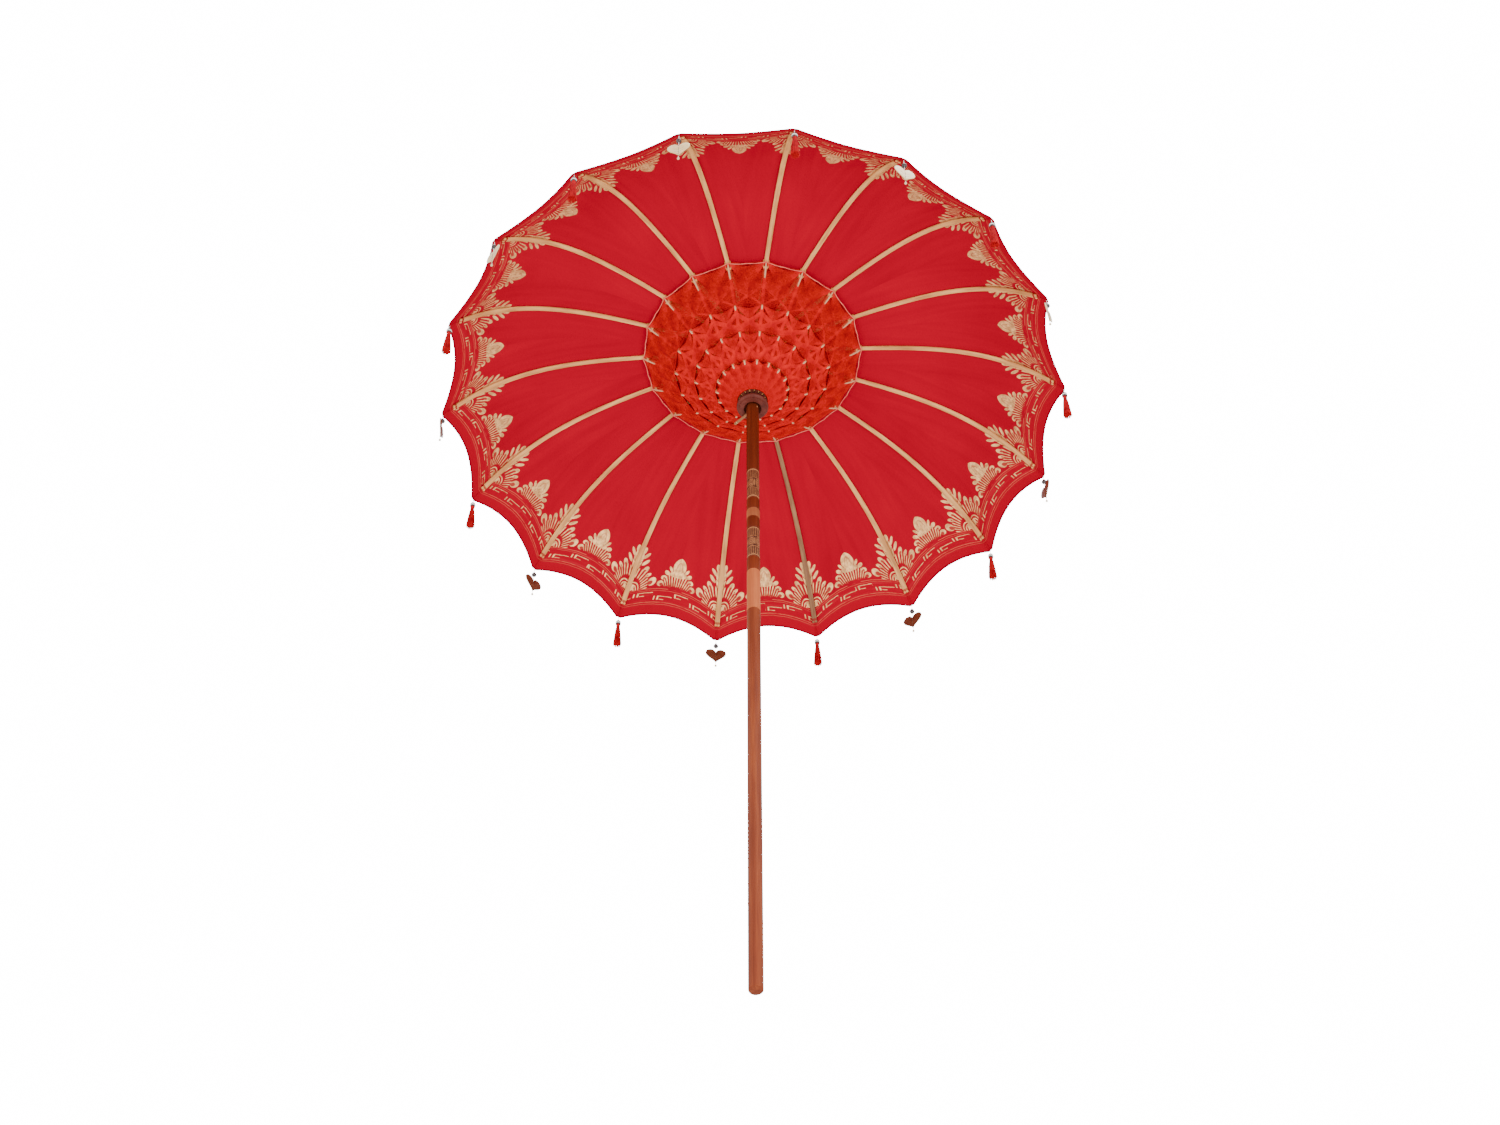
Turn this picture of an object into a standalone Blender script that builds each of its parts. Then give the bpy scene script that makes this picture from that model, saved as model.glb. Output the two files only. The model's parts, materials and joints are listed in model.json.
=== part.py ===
"""A round Balinese-style garden parasol of cotton, bamboo and turned wood, standing open.

Metres, +Z up. The origin is the centre of the pole's foot, and the pole runs up the Z axis.
Rib 01 is the first rib, and the others follow anticlockwise seen from above. Odd ribs carry a
heart pendant and even ribs carry a tassel.
"""

from math import atan, atan2, cos, hypot, pi, radians, sin

import bmesh
import bpy
from mathutils import Matrix, Vector

# Driving dimensions of the open parasol
RIB_COUNT = 18
FIRST_RIB_AZIMUTH = radians(-102.1)
TIP_RADIUS = 0.95
TIP_HEIGHT = 2.45
RISE_SHARE = 0.288
PROFILE_POWER = 4.7
POLE_RADIUS = 0.019
LOWER_POLE_TOP = 1.43
TOP_HEIGHT = 2.80

# Gaps between pieces that touch, slide or turn
TOUCH_GAP = 0.0003
SLIDE_GAP = 0.0007
WELD_GAP = 0.00001

# Pole joint: a tenon on the lower half fits a socket in the upper half
TENON_RADIUS = 0.0125
TENON_LENGTH = 0.100
SOCKET_DEPTH = 0.105
CROWN_TENON_RADIUS = 0.014
CROWN_TENON_LENGTH = 0.022
POLE_CHAMFER = 0.003
POLE_STEPS = 24
BAND_DEPTH = 0.0016

# Carved bands and plain ring on the upper pole, as heights of their ends
UPPER_CARVED_BAND = (1.945, 2.083)
PLAIN_RING = (1.853, 1.892)
LOWER_CARVED_BAND = (1.665, 1.800)

# Crown: a slotted hub under a cap and finial
CROWN_HUB_RADIUS = 0.045
CROWN_HUB_BOTTOM = 2.706
CROWN_CAP_RADIUS = 0.056
CROWN_CAP_BOTTOM = 2.7325
CROWN_CAP_TOP = 2.741
CROWN_CAP_EDGE = 0.004
CROWN_SLOT_INNER_RADIUS = 0.024
CROWN_SLOT_WIDTH = 0.0058
CROWN_WIRE_RADIUS = 0.0009
CROWN_SLOT_OVERRUN = 0.005
RIB_HINGE_RADIUS = 0.036
# Turned finial: radius and depth below the top
FINIAL_PROFILE = (
    (0.0, 0.0),
    (0.006, 0.002),
    (0.0095, 0.010),
    (0.006, 0.019),
    (0.008, 0.026),
    (0.017, 0.034),
    (0.019, 0.042),
    (0.013, 0.049),
    (0.020, 0.053),
)

# Ribs: flat bamboo slats bent over the profile, with a narrow blade in the crown
RIB_BLADE_WIDTH = 0.005
RIB_BLADE_HEIGHT = 0.007
RIB_BLADE_LENGTH = 0.024
BLADE_TAPER = 0.012
RIB_INNER_WIDTH = 0.012
RIB_OUTER_WIDTH = 0.0165
RIB_HEIGHT = 0.006
RIB_TAIL = 0.006
RIB_WOOD_SHARE = 0.97
LASHING_START = 0.001
LASHING_WIDTH = 0.004
LASHING_HEIGHT = 0.003
HINGE_HOLE_RADIUS = 0.0015

# Stretchers: straight bars from the runner to a fork around each rib
STRETCHER_PIVOT_RADIUS = 0.340
STRETCHER_BLADE_WIDTH = 0.005
STRETCHER_BLADE_LENGTH = 0.035
STRETCHER_WIDTH = 0.010
STRETCHER_HEIGHT = 0.009
STRETCHER_EYE_RADIUS = 0.004
FORK_GAP = 0.0128
FORK_EAR = 0.003
FORK_DEPTH = 0.014
FORK_SHOULDER = 0.030
FORK_SHOULDER_EDGE = 0.004
PIN_RADIUS = 0.0016
PIN_HOLE_RADIUS = 0.0021
DRILL_LENGTH = 0.05

# Runner: a turned collar that slides on the pole
RUNNER_PIVOT_RADIUS = 0.040
RUNNER_PIVOT_HEIGHT = 2.458
RUNNER_FLANGE_RADIUS = 0.046
RUNNER_FLANGE_HALF_HEIGHT = 0.008
RUNNER_NECK_RADIUS = 0.030
RUNNER_COLLAR_HEIGHT = 0.004
RUNNER_COLLAR_STEP = 0.002
RUNNER_FLANGE_BEVEL = 0.001
RUNNER_MOUTH_DEPTH = 0.012
# Turned ring, lip and mouth: radius and height over the runner's bottom
RUNNER_RING_PROFILE = (
    (0.030, 0.022),
    (0.0452, 0.0175),
    (0.0492, 0.0125),
    (0.0480, 0.0080),
    (0.0425, 0.0060),
    (0.041, 0.0),
    (0.0268, 0.0),
    (0.0228, 0.009),
)
RUNNER_BOTTOM = 2.413
RUNNER_SLOT_INNER_RADIUS = 0.0335
RUNNER_SLOT_WIDTH = 0.0058
RUNNER_SLOT_OVERRUN = 0.010

# Locking peg through the pole, just under the runner
PEG_AZIMUTH = radians(137.0)
PEG_RADIUS = 0.0042
PEG_LENGTH = 0.096
PEG_INNER_REACH = 0.0205
PEG_HEIGHT = 2.408
PEG_NOTCH_FROM_END = 0.009
PEG_NOTCH_WIDTH = 0.002
PEG_NOTCH_DEPTH = 0.0012
PEG_BEVEL = 0.001

# Canopy
CANOPY_CLEARANCE = 0.0058
CANOPY_THICKNESS = 0.0016
CANOPY_INNER_RADIUS = 0.047
CANOPY_SEGMENTS_PER_GORE = 3
HEM_SCALLOP = 0.026
STATION_SHARES = (0.20, 0.358, 0.50, 0.62, 0.72, 0.80, 0.87, 0.925, 0.97, 1.0)

# Pendants, measured downwards from the hem corner
CORD_RADIUS = 0.001
PENDANT_TOP_GAP = 0.0025
HEART_SIZE = 0.067
HEART_TOP = 0.054
HEART_THICKNESS = 0.003
HEART_POINTS = 22
HEART_BEAD_DEPTH = 0.032
HEART_BEAD_RADIUS = 0.008
HEART_END_BEAD_DEPTH = 0.131
HEART_END_BEAD_RADIUS = 0.0038
TASSEL_BEAD_TOP = 0.023
TASSEL_BEAD_BOTTOM = 0.041
TASSEL_BEAD_RADIUS = 0.0088
TASSEL_NECK_RADIUS = 0.0058
TASSEL_SKIRT_RADIUS = 0.0145
TASSEL_BOTTOM = 0.142
TASSEL_FLARE = 0.002
TASSEL_BEAD_EDGE = 0.003
TASSEL_NECK_LENGTH = 0.014

# Worked-out dimensions
RISE = RISE_SHARE * TIP_RADIUS
PITCH = 2 * pi / RIB_COUNT


def profile_height(radius):
    """Height of a rib's centre line at a distance from the pole's axis."""
    return TIP_HEIGHT + RISE * (1 - (max(radius, 0.0) / TIP_RADIUS) ** PROFILE_POWER)


def profile_slope(radius):
    """Angle of the rib's centre line to the horizontal, negative where it falls."""
    share = max(radius, 0.0) / TIP_RADIUS
    return atan(-RISE * PROFILE_POWER / TIP_RADIUS * share ** (PROFILE_POWER - 1))


RIB_HINGE_HEIGHT = profile_height(RIB_HINGE_RADIUS)
STRETCHER_PIVOT_HEIGHT = profile_height(STRETCHER_PIVOT_RADIUS)
STRETCHER_LENGTH = hypot(
    STRETCHER_PIVOT_RADIUS - RUNNER_PIVOT_RADIUS, STRETCHER_PIVOT_HEIGHT - RUNNER_PIVOT_HEIGHT
)
STRETCHER_ANGLE = atan2(
    STRETCHER_PIVOT_HEIGHT - RUNNER_PIVOT_HEIGHT, STRETCHER_PIVOT_RADIUS - RUNNER_PIVOT_RADIUS
)


def clear_scene():
    """Remove every object that the new file starts with."""
    for thing in list(bpy.data.objects):
        bpy.data.objects.remove(thing, do_unlink=True)


def make_collection(name):
    """Make a collection in the scene."""
    collection = bpy.data.collections.new(name)
    bpy.context.scene.collection.children.link(collection)
    return collection


def make_material(name, colour, roughness):
    """Make a Principled material of one plain colour."""
    material = bpy.data.materials.new(name)
    material.use_nodes = True
    shader = material.node_tree.nodes["Principled BSDF"]
    shader.inputs["Base Color"].default_value = (*colour, 1.0)
    shader.inputs["Roughness"].default_value = roughness
    shader.inputs["Metallic"].default_value = 0.0
    material.diffuse_color = (*colour, 1.0)
    return material


def add_object(name, mesh, collection):
    """Add an object for a mesh to a collection."""
    thing = bpy.data.objects.new(name, mesh)
    collection.objects.link(thing)
    return thing


def add_part(name, mesh, material, matrix=None):
    """Add one named sub-part with its material, at its place."""
    thing = add_object(name, mesh, PARTS)
    if not mesh.materials:
        mesh.materials.append(material)
    if matrix is not None:
        thing.matrix_world = matrix
    return thing


def add_tool(name, mesh):
    """Add an object that only cuts or joins another one."""
    thing = add_object(name, mesh, TOOLS)
    thing.hide_render = True
    thing.display_type = "WIRE"
    return thing


def mesh_from(work, name):
    """Turn a bmesh into a mesh with its faces pointing out."""
    bmesh.ops.recalc_face_normals(work, faces=work.faces)
    mesh = bpy.data.meshes.new(name)
    work.to_mesh(mesh)
    work.free()
    return mesh


def cylinder_mesh(name, radius, length, sides, matrix=None):
    """A capped cylinder along local Z, centred on its place."""
    work = bmesh.new()
    bmesh.ops.create_cone(
        work, cap_ends=True, segments=sides, radius1=radius, radius2=radius, depth=length,
        matrix=matrix or Matrix(),
    )
    return mesh_from(work, name)


def box_mesh(name, size, centre):
    """A box of a given size and centre."""
    work = bmesh.new()
    placed = Matrix.Translation(centre) @ Matrix.Diagonal((*size, 1.0))
    bmesh.ops.create_cube(work, size=1.0, matrix=placed)
    return mesh_from(work, name)


def slot_mesh(name, inner_radius, outer_radius, width, bottom, top):
    """A ring of boxes, one at each rib's azimuth, that cuts radial slots."""
    work = bmesh.new()
    size = Matrix.Diagonal((outer_radius - inner_radius, width, top - bottom, 1.0))
    centre = Matrix.Translation(((inner_radius + outer_radius) / 2, 0.0, (bottom + top) / 2))
    for number in range(RIB_COUNT):
        turned = Matrix.Rotation(azimuth(number), 4, "Z")
        bmesh.ops.create_cube(work, size=1.0, matrix=turned @ centre @ size)
    return mesh_from(work, name)


def profile_mesh(name, points, closed):
    """A line of edges in the XZ plane, given as pairs of radius and height."""
    work = bmesh.new()
    corners = [work.verts.new((radius, 0.0, height)) for radius, height in points]
    for first, second in zip(corners, corners[1:]):
        work.edges.new((first, second))
    if closed:
        work.edges.new((corners[-1], corners[0]))
    mesh = bpy.data.meshes.new(name)
    work.to_mesh(mesh)
    work.free()
    return mesh


def add_screw(thing, steps):
    """Turn an object's profile round the Z axis."""
    screw = thing.modifiers.new("turned", "SCREW")
    screw.steps = steps
    screw.render_steps = steps
    screw.use_merge_vertices = True
    screw.merge_threshold = WELD_GAP
    screw.use_smooth_shade = False


def add_boolean(thing, tool, operation):
    """Cut an object with a tool, or join the tool to it."""
    change = thing.modifiers.new(operation.lower(), "BOOLEAN")
    change.operation = operation
    change.object = tool
    change.solver = "EXACT"


def finished_mesh(thing, name):
    """The mesh that an object's modifiers give; the object is removed."""
    bpy.context.view_layer.update()
    ready = thing.evaluated_get(bpy.context.evaluated_depsgraph_get())
    mesh = bpy.data.meshes.new_from_object(ready)
    mesh.name = name
    bpy.data.objects.remove(thing, do_unlink=True)
    return mesh


def remove_tools(tools):
    """Remove tools whose work is already in a finished mesh."""
    for tool in tools:
        bpy.data.objects.remove(tool, do_unlink=True)


def azimuth(number):
    """Azimuth of a rib, counted from 0."""
    return FIRST_RIB_AZIMUTH + PITCH * number


def placed_on_rib(number, radius, height):
    """The frame of a piece on a rib: X outwards, Y sideways and Z up."""
    return Matrix.Rotation(azimuth(number), 4, "Z") @ Matrix.Translation((radius, 0.0, height))


def offset_point(radius, offset):
    """A point above the rib's centre line, square to it, as radius and height."""
    slope = profile_slope(radius)
    return radius - offset * sin(slope), profile_height(radius) + offset * cos(slope)


def make_lower_pole():
    """Lower half of the pole, with the foot and the tenon."""
    points = [
        (0.0, LOWER_POLE_TOP + TENON_LENGTH),
        (TENON_RADIUS - POLE_CHAMFER, LOWER_POLE_TOP + TENON_LENGTH),
        (TENON_RADIUS, LOWER_POLE_TOP + TENON_LENGTH - POLE_CHAMFER),
        (TENON_RADIUS, LOWER_POLE_TOP),
        (POLE_RADIUS, LOWER_POLE_TOP),
        (POLE_RADIUS, POLE_CHAMFER),
        (POLE_RADIUS - POLE_CHAMFER, 0.0),
        (0.0, 0.0),
    ]
    wood = make_material("lower_pole_wood", (0.38, 0.10, 0.03), 0.45)
    pole = add_part("pole_lower", profile_mesh("pole_lower", points, False), wood)
    add_screw(pole, POLE_STEPS)


def band_points(band):
    """A shallow turned recess for a carved band, from its top end to its bottom end."""
    bottom, top = band
    inner = POLE_RADIUS - BAND_DEPTH
    return [
        (POLE_RADIUS, top),
        (inner, top - BAND_DEPTH),
        (inner, bottom + BAND_DEPTH),
        (POLE_RADIUS, bottom),
    ]


def make_upper_pole():
    """Upper half of the pole, with its socket, carved bands, peg hole and crown tenon."""
    bottom = LOWER_POLE_TOP + TOUCH_GAP
    shoulder = CROWN_HUB_BOTTOM - TOUCH_GAP
    socket_radius = TENON_RADIUS + 2 * TOUCH_GAP
    points = [
        (0.0, shoulder + CROWN_TENON_LENGTH),
        (CROWN_TENON_RADIUS, shoulder + CROWN_TENON_LENGTH),
        (CROWN_TENON_RADIUS, shoulder),
        (POLE_RADIUS, shoulder),
    ]
    for band in (UPPER_CARVED_BAND, PLAIN_RING, LOWER_CARVED_BAND):
        points += band_points(band)
    points += [
        (POLE_RADIUS, bottom),
        (socket_radius, bottom),
        (socket_radius, bottom + SOCKET_DEPTH),
        (0.0, bottom + SOCKET_DEPTH),
    ]
    wood = make_material("upper_pole_wood", (0.19, 0.03, 0.01), 0.3)
    pole = add_part("pole_upper", profile_mesh("pole_upper", points, False), wood)
    add_screw(pole, POLE_STEPS)
    hole = cylinder_mesh("peg_hole", PEG_RADIUS + 2 * TOUCH_GAP, 4 * POLE_RADIUS, 12)
    cutter = add_tool("peg_hole", hole)
    cutter.matrix_world = (
        Matrix.Translation((0.0, 0.0, PEG_HEIGHT))
        @ Matrix.Rotation(PEG_AZIMUTH, 4, "Z")
        @ Matrix.Rotation(pi / 2, 4, "Y")
    )
    add_boolean(pole, cutter, "DIFFERENCE")


def make_crown():
    """Slotted hub that holds the ribs on a ring of wire, with the cap and finial above it."""
    bore = CROWN_TENON_RADIUS + 2 * TOUCH_GAP
    bore_top = CROWN_HUB_BOTTOM + CROWN_TENON_LENGTH + TOUCH_GAP
    points = [
        *((radius, TOP_HEIGHT - depth) for radius, depth in FINIAL_PROFILE),
        (CROWN_CAP_RADIUS - CROWN_CAP_EDGE, CROWN_CAP_TOP),
        (CROWN_CAP_RADIUS, CROWN_CAP_TOP - CROWN_CAP_EDGE),
        (CROWN_CAP_RADIUS, CROWN_CAP_BOTTOM),
        (CROWN_HUB_RADIUS, CROWN_CAP_BOTTOM),
        (CROWN_HUB_RADIUS, CROWN_HUB_BOTTOM),
        (bore, CROWN_HUB_BOTTOM),
        (bore, bore_top),
        (0.0, bore_top),
    ]
    wood = make_material("crown_wood", (0.12, 0.03, 0.02), 0.3)
    crown = add_part("crown", profile_mesh("crown", points, False), wood)
    add_screw(crown, POLE_STEPS)
    slots = slot_mesh(
        "crown_slots", CROWN_SLOT_INNER_RADIUS, CROWN_CAP_RADIUS + CROWN_SLOT_OVERRUN, CROWN_SLOT_WIDTH,
        CROWN_HUB_BOTTOM - CROWN_SLOT_OVERRUN, CROWN_CAP_BOTTOM - TOUCH_GAP,
    )
    add_boolean(crown, add_tool("crown_slots", slots), "DIFFERENCE")
    bpy.ops.mesh.primitive_torus_add(
        location=(0.0, 0.0, RIB_HINGE_HEIGHT), major_radius=RIB_HINGE_RADIUS,
        minor_radius=CROWN_WIRE_RADIUS, major_segments=2 * RIB_COUNT, minor_segments=6,
        rotation=(0.0, 0.0, azimuth(0) + PITCH / 4),
    )
    wire = bpy.context.object
    wire.name = "crown_wire"
    wire.hide_render = True
    wire.display_type = "WIRE"
    for collection in list(wire.users_collection):
        collection.objects.unlink(wire)
    TOOLS.objects.link(wire)
    add_boolean(crown, wire, "UNION")


def make_runner():
    """Turned collar with a slotted flange for the stretchers and a flared mouth."""
    bore = POLE_RADIUS + SLIDE_GAP
    flange_top = RUNNER_PIVOT_HEIGHT + RUNNER_FLANGE_HALF_HEIGHT
    flange_bottom = RUNNER_PIVOT_HEIGHT - RUNNER_FLANGE_HALF_HEIGHT
    points = [
        (bore, flange_top + RUNNER_COLLAR_HEIGHT),
        (RUNNER_NECK_RADIUS - RUNNER_COLLAR_STEP, flange_top + RUNNER_COLLAR_HEIGHT),
        (RUNNER_NECK_RADIUS, flange_top),
        (RUNNER_FLANGE_RADIUS, flange_top),
        (RUNNER_FLANGE_RADIUS, flange_bottom),
        (RUNNER_NECK_RADIUS, flange_bottom - RUNNER_FLANGE_BEVEL),
        *((radius, RUNNER_BOTTOM + height) for radius, height in RUNNER_RING_PROFILE),
        (bore, RUNNER_BOTTOM + RUNNER_MOUTH_DEPTH),
    ]
    points = [(radius, height - RUNNER_PIVOT_HEIGHT) for radius, height in points]
    wood = make_material("runner_wood", (0.13, 0.03, 0.02), 0.25)
    place = Matrix.Translation((0.0, 0.0, RUNNER_PIVOT_HEIGHT))
    runner = add_part("runner", profile_mesh("runner", points, True), wood, place)
    add_screw(runner, POLE_STEPS)
    slots = slot_mesh(
        "runner_slots", RUNNER_SLOT_INNER_RADIUS, RUNNER_FLANGE_RADIUS + RUNNER_SLOT_OVERRUN, RUNNER_SLOT_WIDTH,
        flange_bottom - RUNNER_FLANGE_BEVEL / 2, flange_top + RUNNER_SLOT_OVERRUN,
    )
    add_boolean(runner, add_tool("runner_slots", slots), "DIFFERENCE")


def make_peg():
    """Locking peg that carries the runner, with a notch for its string."""
    outer_end = PEG_LENGTH - PEG_INNER_REACH
    notch = outer_end - PEG_NOTCH_FROM_END
    points = [
        (0.0, outer_end),
        (PEG_RADIUS - PEG_BEVEL, outer_end),
        (PEG_RADIUS, outer_end - PEG_BEVEL),
        (PEG_RADIUS, notch + PEG_NOTCH_WIDTH),
        (PEG_RADIUS - PEG_NOTCH_DEPTH, notch + PEG_NOTCH_WIDTH / 2),
        (PEG_RADIUS - PEG_NOTCH_DEPTH, notch - PEG_NOTCH_WIDTH / 2),
        (PEG_RADIUS, notch - PEG_NOTCH_WIDTH),
        (PEG_RADIUS, 2 * PEG_BEVEL - PEG_INNER_REACH),
        (PEG_RADIUS - 2 * PEG_BEVEL, -PEG_INNER_REACH),
        (0.0, -PEG_INNER_REACH),
    ]
    wood = make_material("peg_wood", (0.55, 0.32, 0.16), 0.5)
    place = (
        Matrix.Translation((0.0, 0.0, PEG_HEIGHT))
        @ Matrix.Rotation(PEG_AZIMUTH, 4, "Z")
        @ Matrix.Rotation(pi / 2, 4, "Y")
    )
    peg = add_part("locking_peg", profile_mesh("locking_peg", points, False), wood, place)
    add_screw(peg, 12)


def loft_mesh(name, sections):
    """Join rectangles across the XZ plane.

    Each section gives its middle X and Z, its width along Y, its height and its slope.
    """
    work = bmesh.new()
    rings = []
    for middle_x, middle_z, width, height, slope in sections:
        across = Vector((-sin(slope), 0.0, cos(slope))) * height / 2
        middle = Vector((middle_x, 0.0, middle_z))
        side = Vector((0.0, width / 2, 0.0))
        places = (middle - side - across, middle + side - across)
        places += (middle + side + across, middle - side + across)
        rings.append([work.verts.new(place) for place in places])
    for first, second in zip(rings, rings[1:]):
        for index in range(4):
            after = (index + 1) % 4
            work.faces.new((first[index], first[after], second[after], second[index]))
    work.faces.new(rings[0])
    work.faces.new(rings[-1])
    return mesh_from(work, name)


def rib_sections():
    """Sections of a rib from its blade in the crown to the lashing at the hem corner."""
    wood_end = RIB_WOOD_SHARE * TIP_RADIUS
    blade_end = RIB_HINGE_RADIUS + RIB_BLADE_LENGTH
    stations = [
        (RIB_HINGE_RADIUS - RIB_TAIL, RIB_BLADE_WIDTH, RIB_BLADE_HEIGHT),
        (blade_end, RIB_BLADE_WIDTH, RIB_BLADE_HEIGHT),
        (blade_end + BLADE_TAPER, RIB_INNER_WIDTH, RIB_HEIGHT),
    ]
    first_share = STATION_SHARES[1]
    for share in STATION_SHARES[:-1]:
        growth = max(0.0, share - first_share) / (RIB_WOOD_SHARE - first_share)
        width = RIB_INNER_WIDTH + (RIB_OUTER_WIDTH - RIB_INNER_WIDTH) * growth
        stations.append((share * TIP_RADIUS, width, RIB_HEIGHT))
    stations += [
        (wood_end + LASHING_START, LASHING_WIDTH, LASHING_HEIGHT),
        (TIP_RADIUS, LASHING_WIDTH, LASHING_HEIGHT),
    ]
    sections = []
    for radius, width, height in stations:
        place_x = radius - RIB_HINGE_RADIUS
        place_z = profile_height(radius) - RIB_HINGE_HEIGHT
        sections.append((place_x, place_z, width, height, profile_slope(radius)))
    return sections


def make_ribs():
    """Eighteen ribs, each with a hinge hole at the crown and a cross pin for its stretcher."""
    bamboo = make_material("rib_bamboo", (0.60, 0.36, 0.18), 0.5)
    blank = add_tool("rib_blank", loft_mesh("rib_blank", rib_sections()))
    across = Matrix.Rotation(pi / 2, 4, "X")
    hole_mesh = cylinder_mesh("hinge_hole", HINGE_HOLE_RADIUS, 4 * RIB_BLADE_WIDTH, 6, across)
    hole = add_tool("hinge_hole", hole_mesh)
    pivot = Matrix.Translation((
        STRETCHER_PIVOT_RADIUS - RIB_HINGE_RADIUS, 0.0, STRETCHER_PIVOT_HEIGHT - RIB_HINGE_HEIGHT
    ))
    pin_length = FORK_GAP + 2 * FORK_EAR - 2 * TOUCH_GAP
    pin = add_tool("pin", cylinder_mesh("pin", PIN_RADIUS, pin_length, 8, pivot @ across))
    add_boolean(blank, hole, "DIFFERENCE")
    add_boolean(blank, pin, "UNION")
    mesh = finished_mesh(blank, "rib")
    remove_tools((hole, pin))
    for number in range(RIB_COUNT):
        place = placed_on_rib(number, RIB_HINGE_RADIUS, RIB_HINGE_HEIGHT)
        add_part(f"rib_{number + 1:02d}", mesh, bamboo, place)


def make_stretchers():
    """Eighteen stretchers, forked round the ribs, with their origins on the fork's pin."""
    bamboo = make_material("stretcher_bamboo", (0.55, 0.30, 0.14), 0.5)
    fork_width = FORK_GAP + 2 * FORK_EAR
    eye = 2 * STRETCHER_EYE_RADIUS
    stations = [
        (-STRETCHER_EYE_RADIUS, STRETCHER_BLADE_WIDTH, eye * 0.5),
        (0.0, STRETCHER_BLADE_WIDTH, eye),
        (STRETCHER_BLADE_LENGTH, STRETCHER_BLADE_WIDTH, STRETCHER_HEIGHT),
        (STRETCHER_BLADE_LENGTH + BLADE_TAPER, STRETCHER_WIDTH, STRETCHER_HEIGHT),
        (STRETCHER_LENGTH - FORK_SHOULDER, STRETCHER_WIDTH, STRETCHER_HEIGHT),
        (STRETCHER_LENGTH - FORK_DEPTH - FORK_SHOULDER_EDGE, fork_width, STRETCHER_HEIGHT),
        (STRETCHER_LENGTH, fork_width, eye),
        (STRETCHER_LENGTH + STRETCHER_EYE_RADIUS, fork_width, eye * 0.5),
    ]
    sections = []
    for along, width, height in stations:
        sections.append((along - STRETCHER_LENGTH, 0.0, width, height, 0.0))
    blank = add_tool("stretcher_blank", loft_mesh("stretcher_blank", sections))
    gap_length = 2 * FORK_DEPTH
    gap_size = (gap_length, FORK_GAP, 3 * STRETCHER_HEIGHT)
    gap_centre = (gap_length / 2 - FORK_DEPTH, 0.0, 0.0)
    gap = add_tool("fork_gap", box_mesh("fork_gap", gap_size, gap_centre))
    across = Matrix.Rotation(pi / 2, 4, "X")
    hole = add_tool("pin_hole", cylinder_mesh("pin_hole", PIN_HOLE_RADIUS, DRILL_LENGTH, 8, across))
    add_boolean(blank, gap, "DIFFERENCE")
    add_boolean(blank, hole, "DIFFERENCE")
    mesh = finished_mesh(blank, "stretcher")
    remove_tools((gap, hole))
    tilt = Matrix.Rotation(-STRETCHER_ANGLE, 4, "Y")
    for number in range(RIB_COUNT):
        place = placed_on_rib(number, STRETCHER_PIVOT_RADIUS, STRETCHER_PIVOT_HEIGHT)
        add_part(f"stretcher_{number + 1:02d}", mesh, bamboo, place @ tilt)


def canopy_column(position):
    """Points of one column of the canopy's underside; whole positions lie over ribs."""
    number = int(position)
    share = position - number
    inset = HEM_SCALLOP * 4 * share * (1 - share)
    radii = [CANOPY_INNER_RADIUS]
    for station in STATION_SHARES:
        radii.append(station * TIP_RADIUS * (1 - inset * station))
    points = []
    for radius in radii:
        reach, height = offset_point(radius, CANOPY_CLEARANCE)
        left = Vector((cos(azimuth(number)), sin(azimuth(number)))) * reach
        right = Vector((cos(azimuth(number + 1)), sin(azimuth(number + 1)))) * reach
        flat = left.lerp(right, share)
        points.append((flat.x, flat.y, height))
    return points


def make_canopy():
    """Cotton canopy of eighteen gores, straight across between ribs, with a scalloped hem."""
    work = bmesh.new()
    columns = []
    for index in range(RIB_COUNT * CANOPY_SEGMENTS_PER_GORE):
        points = canopy_column(index / CANOPY_SEGMENTS_PER_GORE)
        columns.append([work.verts.new(point) for point in points])
    for index, left in enumerate(columns):
        right = columns[(index + 1) % len(columns)]
        for row in range(len(left) - 1):
            work.faces.new((left[row], left[row + 1], right[row + 1], right[row]))
    mesh = bpy.data.meshes.new("canopy")
    work.to_mesh(mesh)
    work.free()
    cotton = make_material("canopy_cotton", (0.62, 0.02, 0.03), 0.8)
    canopy = add_part("canopy", mesh, cotton)
    shell = canopy.modifiers.new("cloth", "SOLIDIFY")
    shell.thickness = CANOPY_THICKNESS
    shell.offset = 1.0


def heart_outline_mesh():
    """A flat heart of equal width and height, square to X, hanging below its cord."""
    line = bpy.data.curves.new("heart", "CURVE")
    line.dimensions = "2D"
    line.fill_mode = "BOTH"
    line.extrude = HEART_THICKNESS / 2
    outline = line.splines.new("POLY")
    outline.points.add(HEART_POINTS - 1)
    outline.use_cyclic_u = True
    for index, point in enumerate(outline.points):
        turn = 2 * pi * (index + 0.5) / HEART_POINTS
        wide = sin(turn) ** 3
        high = (13 * cos(turn) - 5 * cos(2 * turn) - 2 * cos(3 * turn) - cos(4 * turn)) / 29
        point.co = (wide * HEART_SIZE / 2, high * HEART_SIZE, 0.0, 1.0)
    thing = add_tool("heart", line)
    mesh = finished_mesh(thing, "heart")
    bpy.data.curves.remove(line)
    work = bmesh.new()
    work.from_mesh(mesh)
    bpy.data.meshes.remove(mesh)
    bmesh.ops.remove_doubles(work, verts=work.verts, dist=WELD_GAP)
    lowest = min(vert.co.y for vert in work.verts)
    highest = max(vert.co.y for vert in work.verts)
    stretch = HEART_SIZE / (highest - lowest)
    for vert in work.verts:
        height = (vert.co.y - highest) * stretch - HEART_TOP
        vert.co = Vector((vert.co.z, vert.co.x, height))
    return mesh_from(work, "heart")


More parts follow.
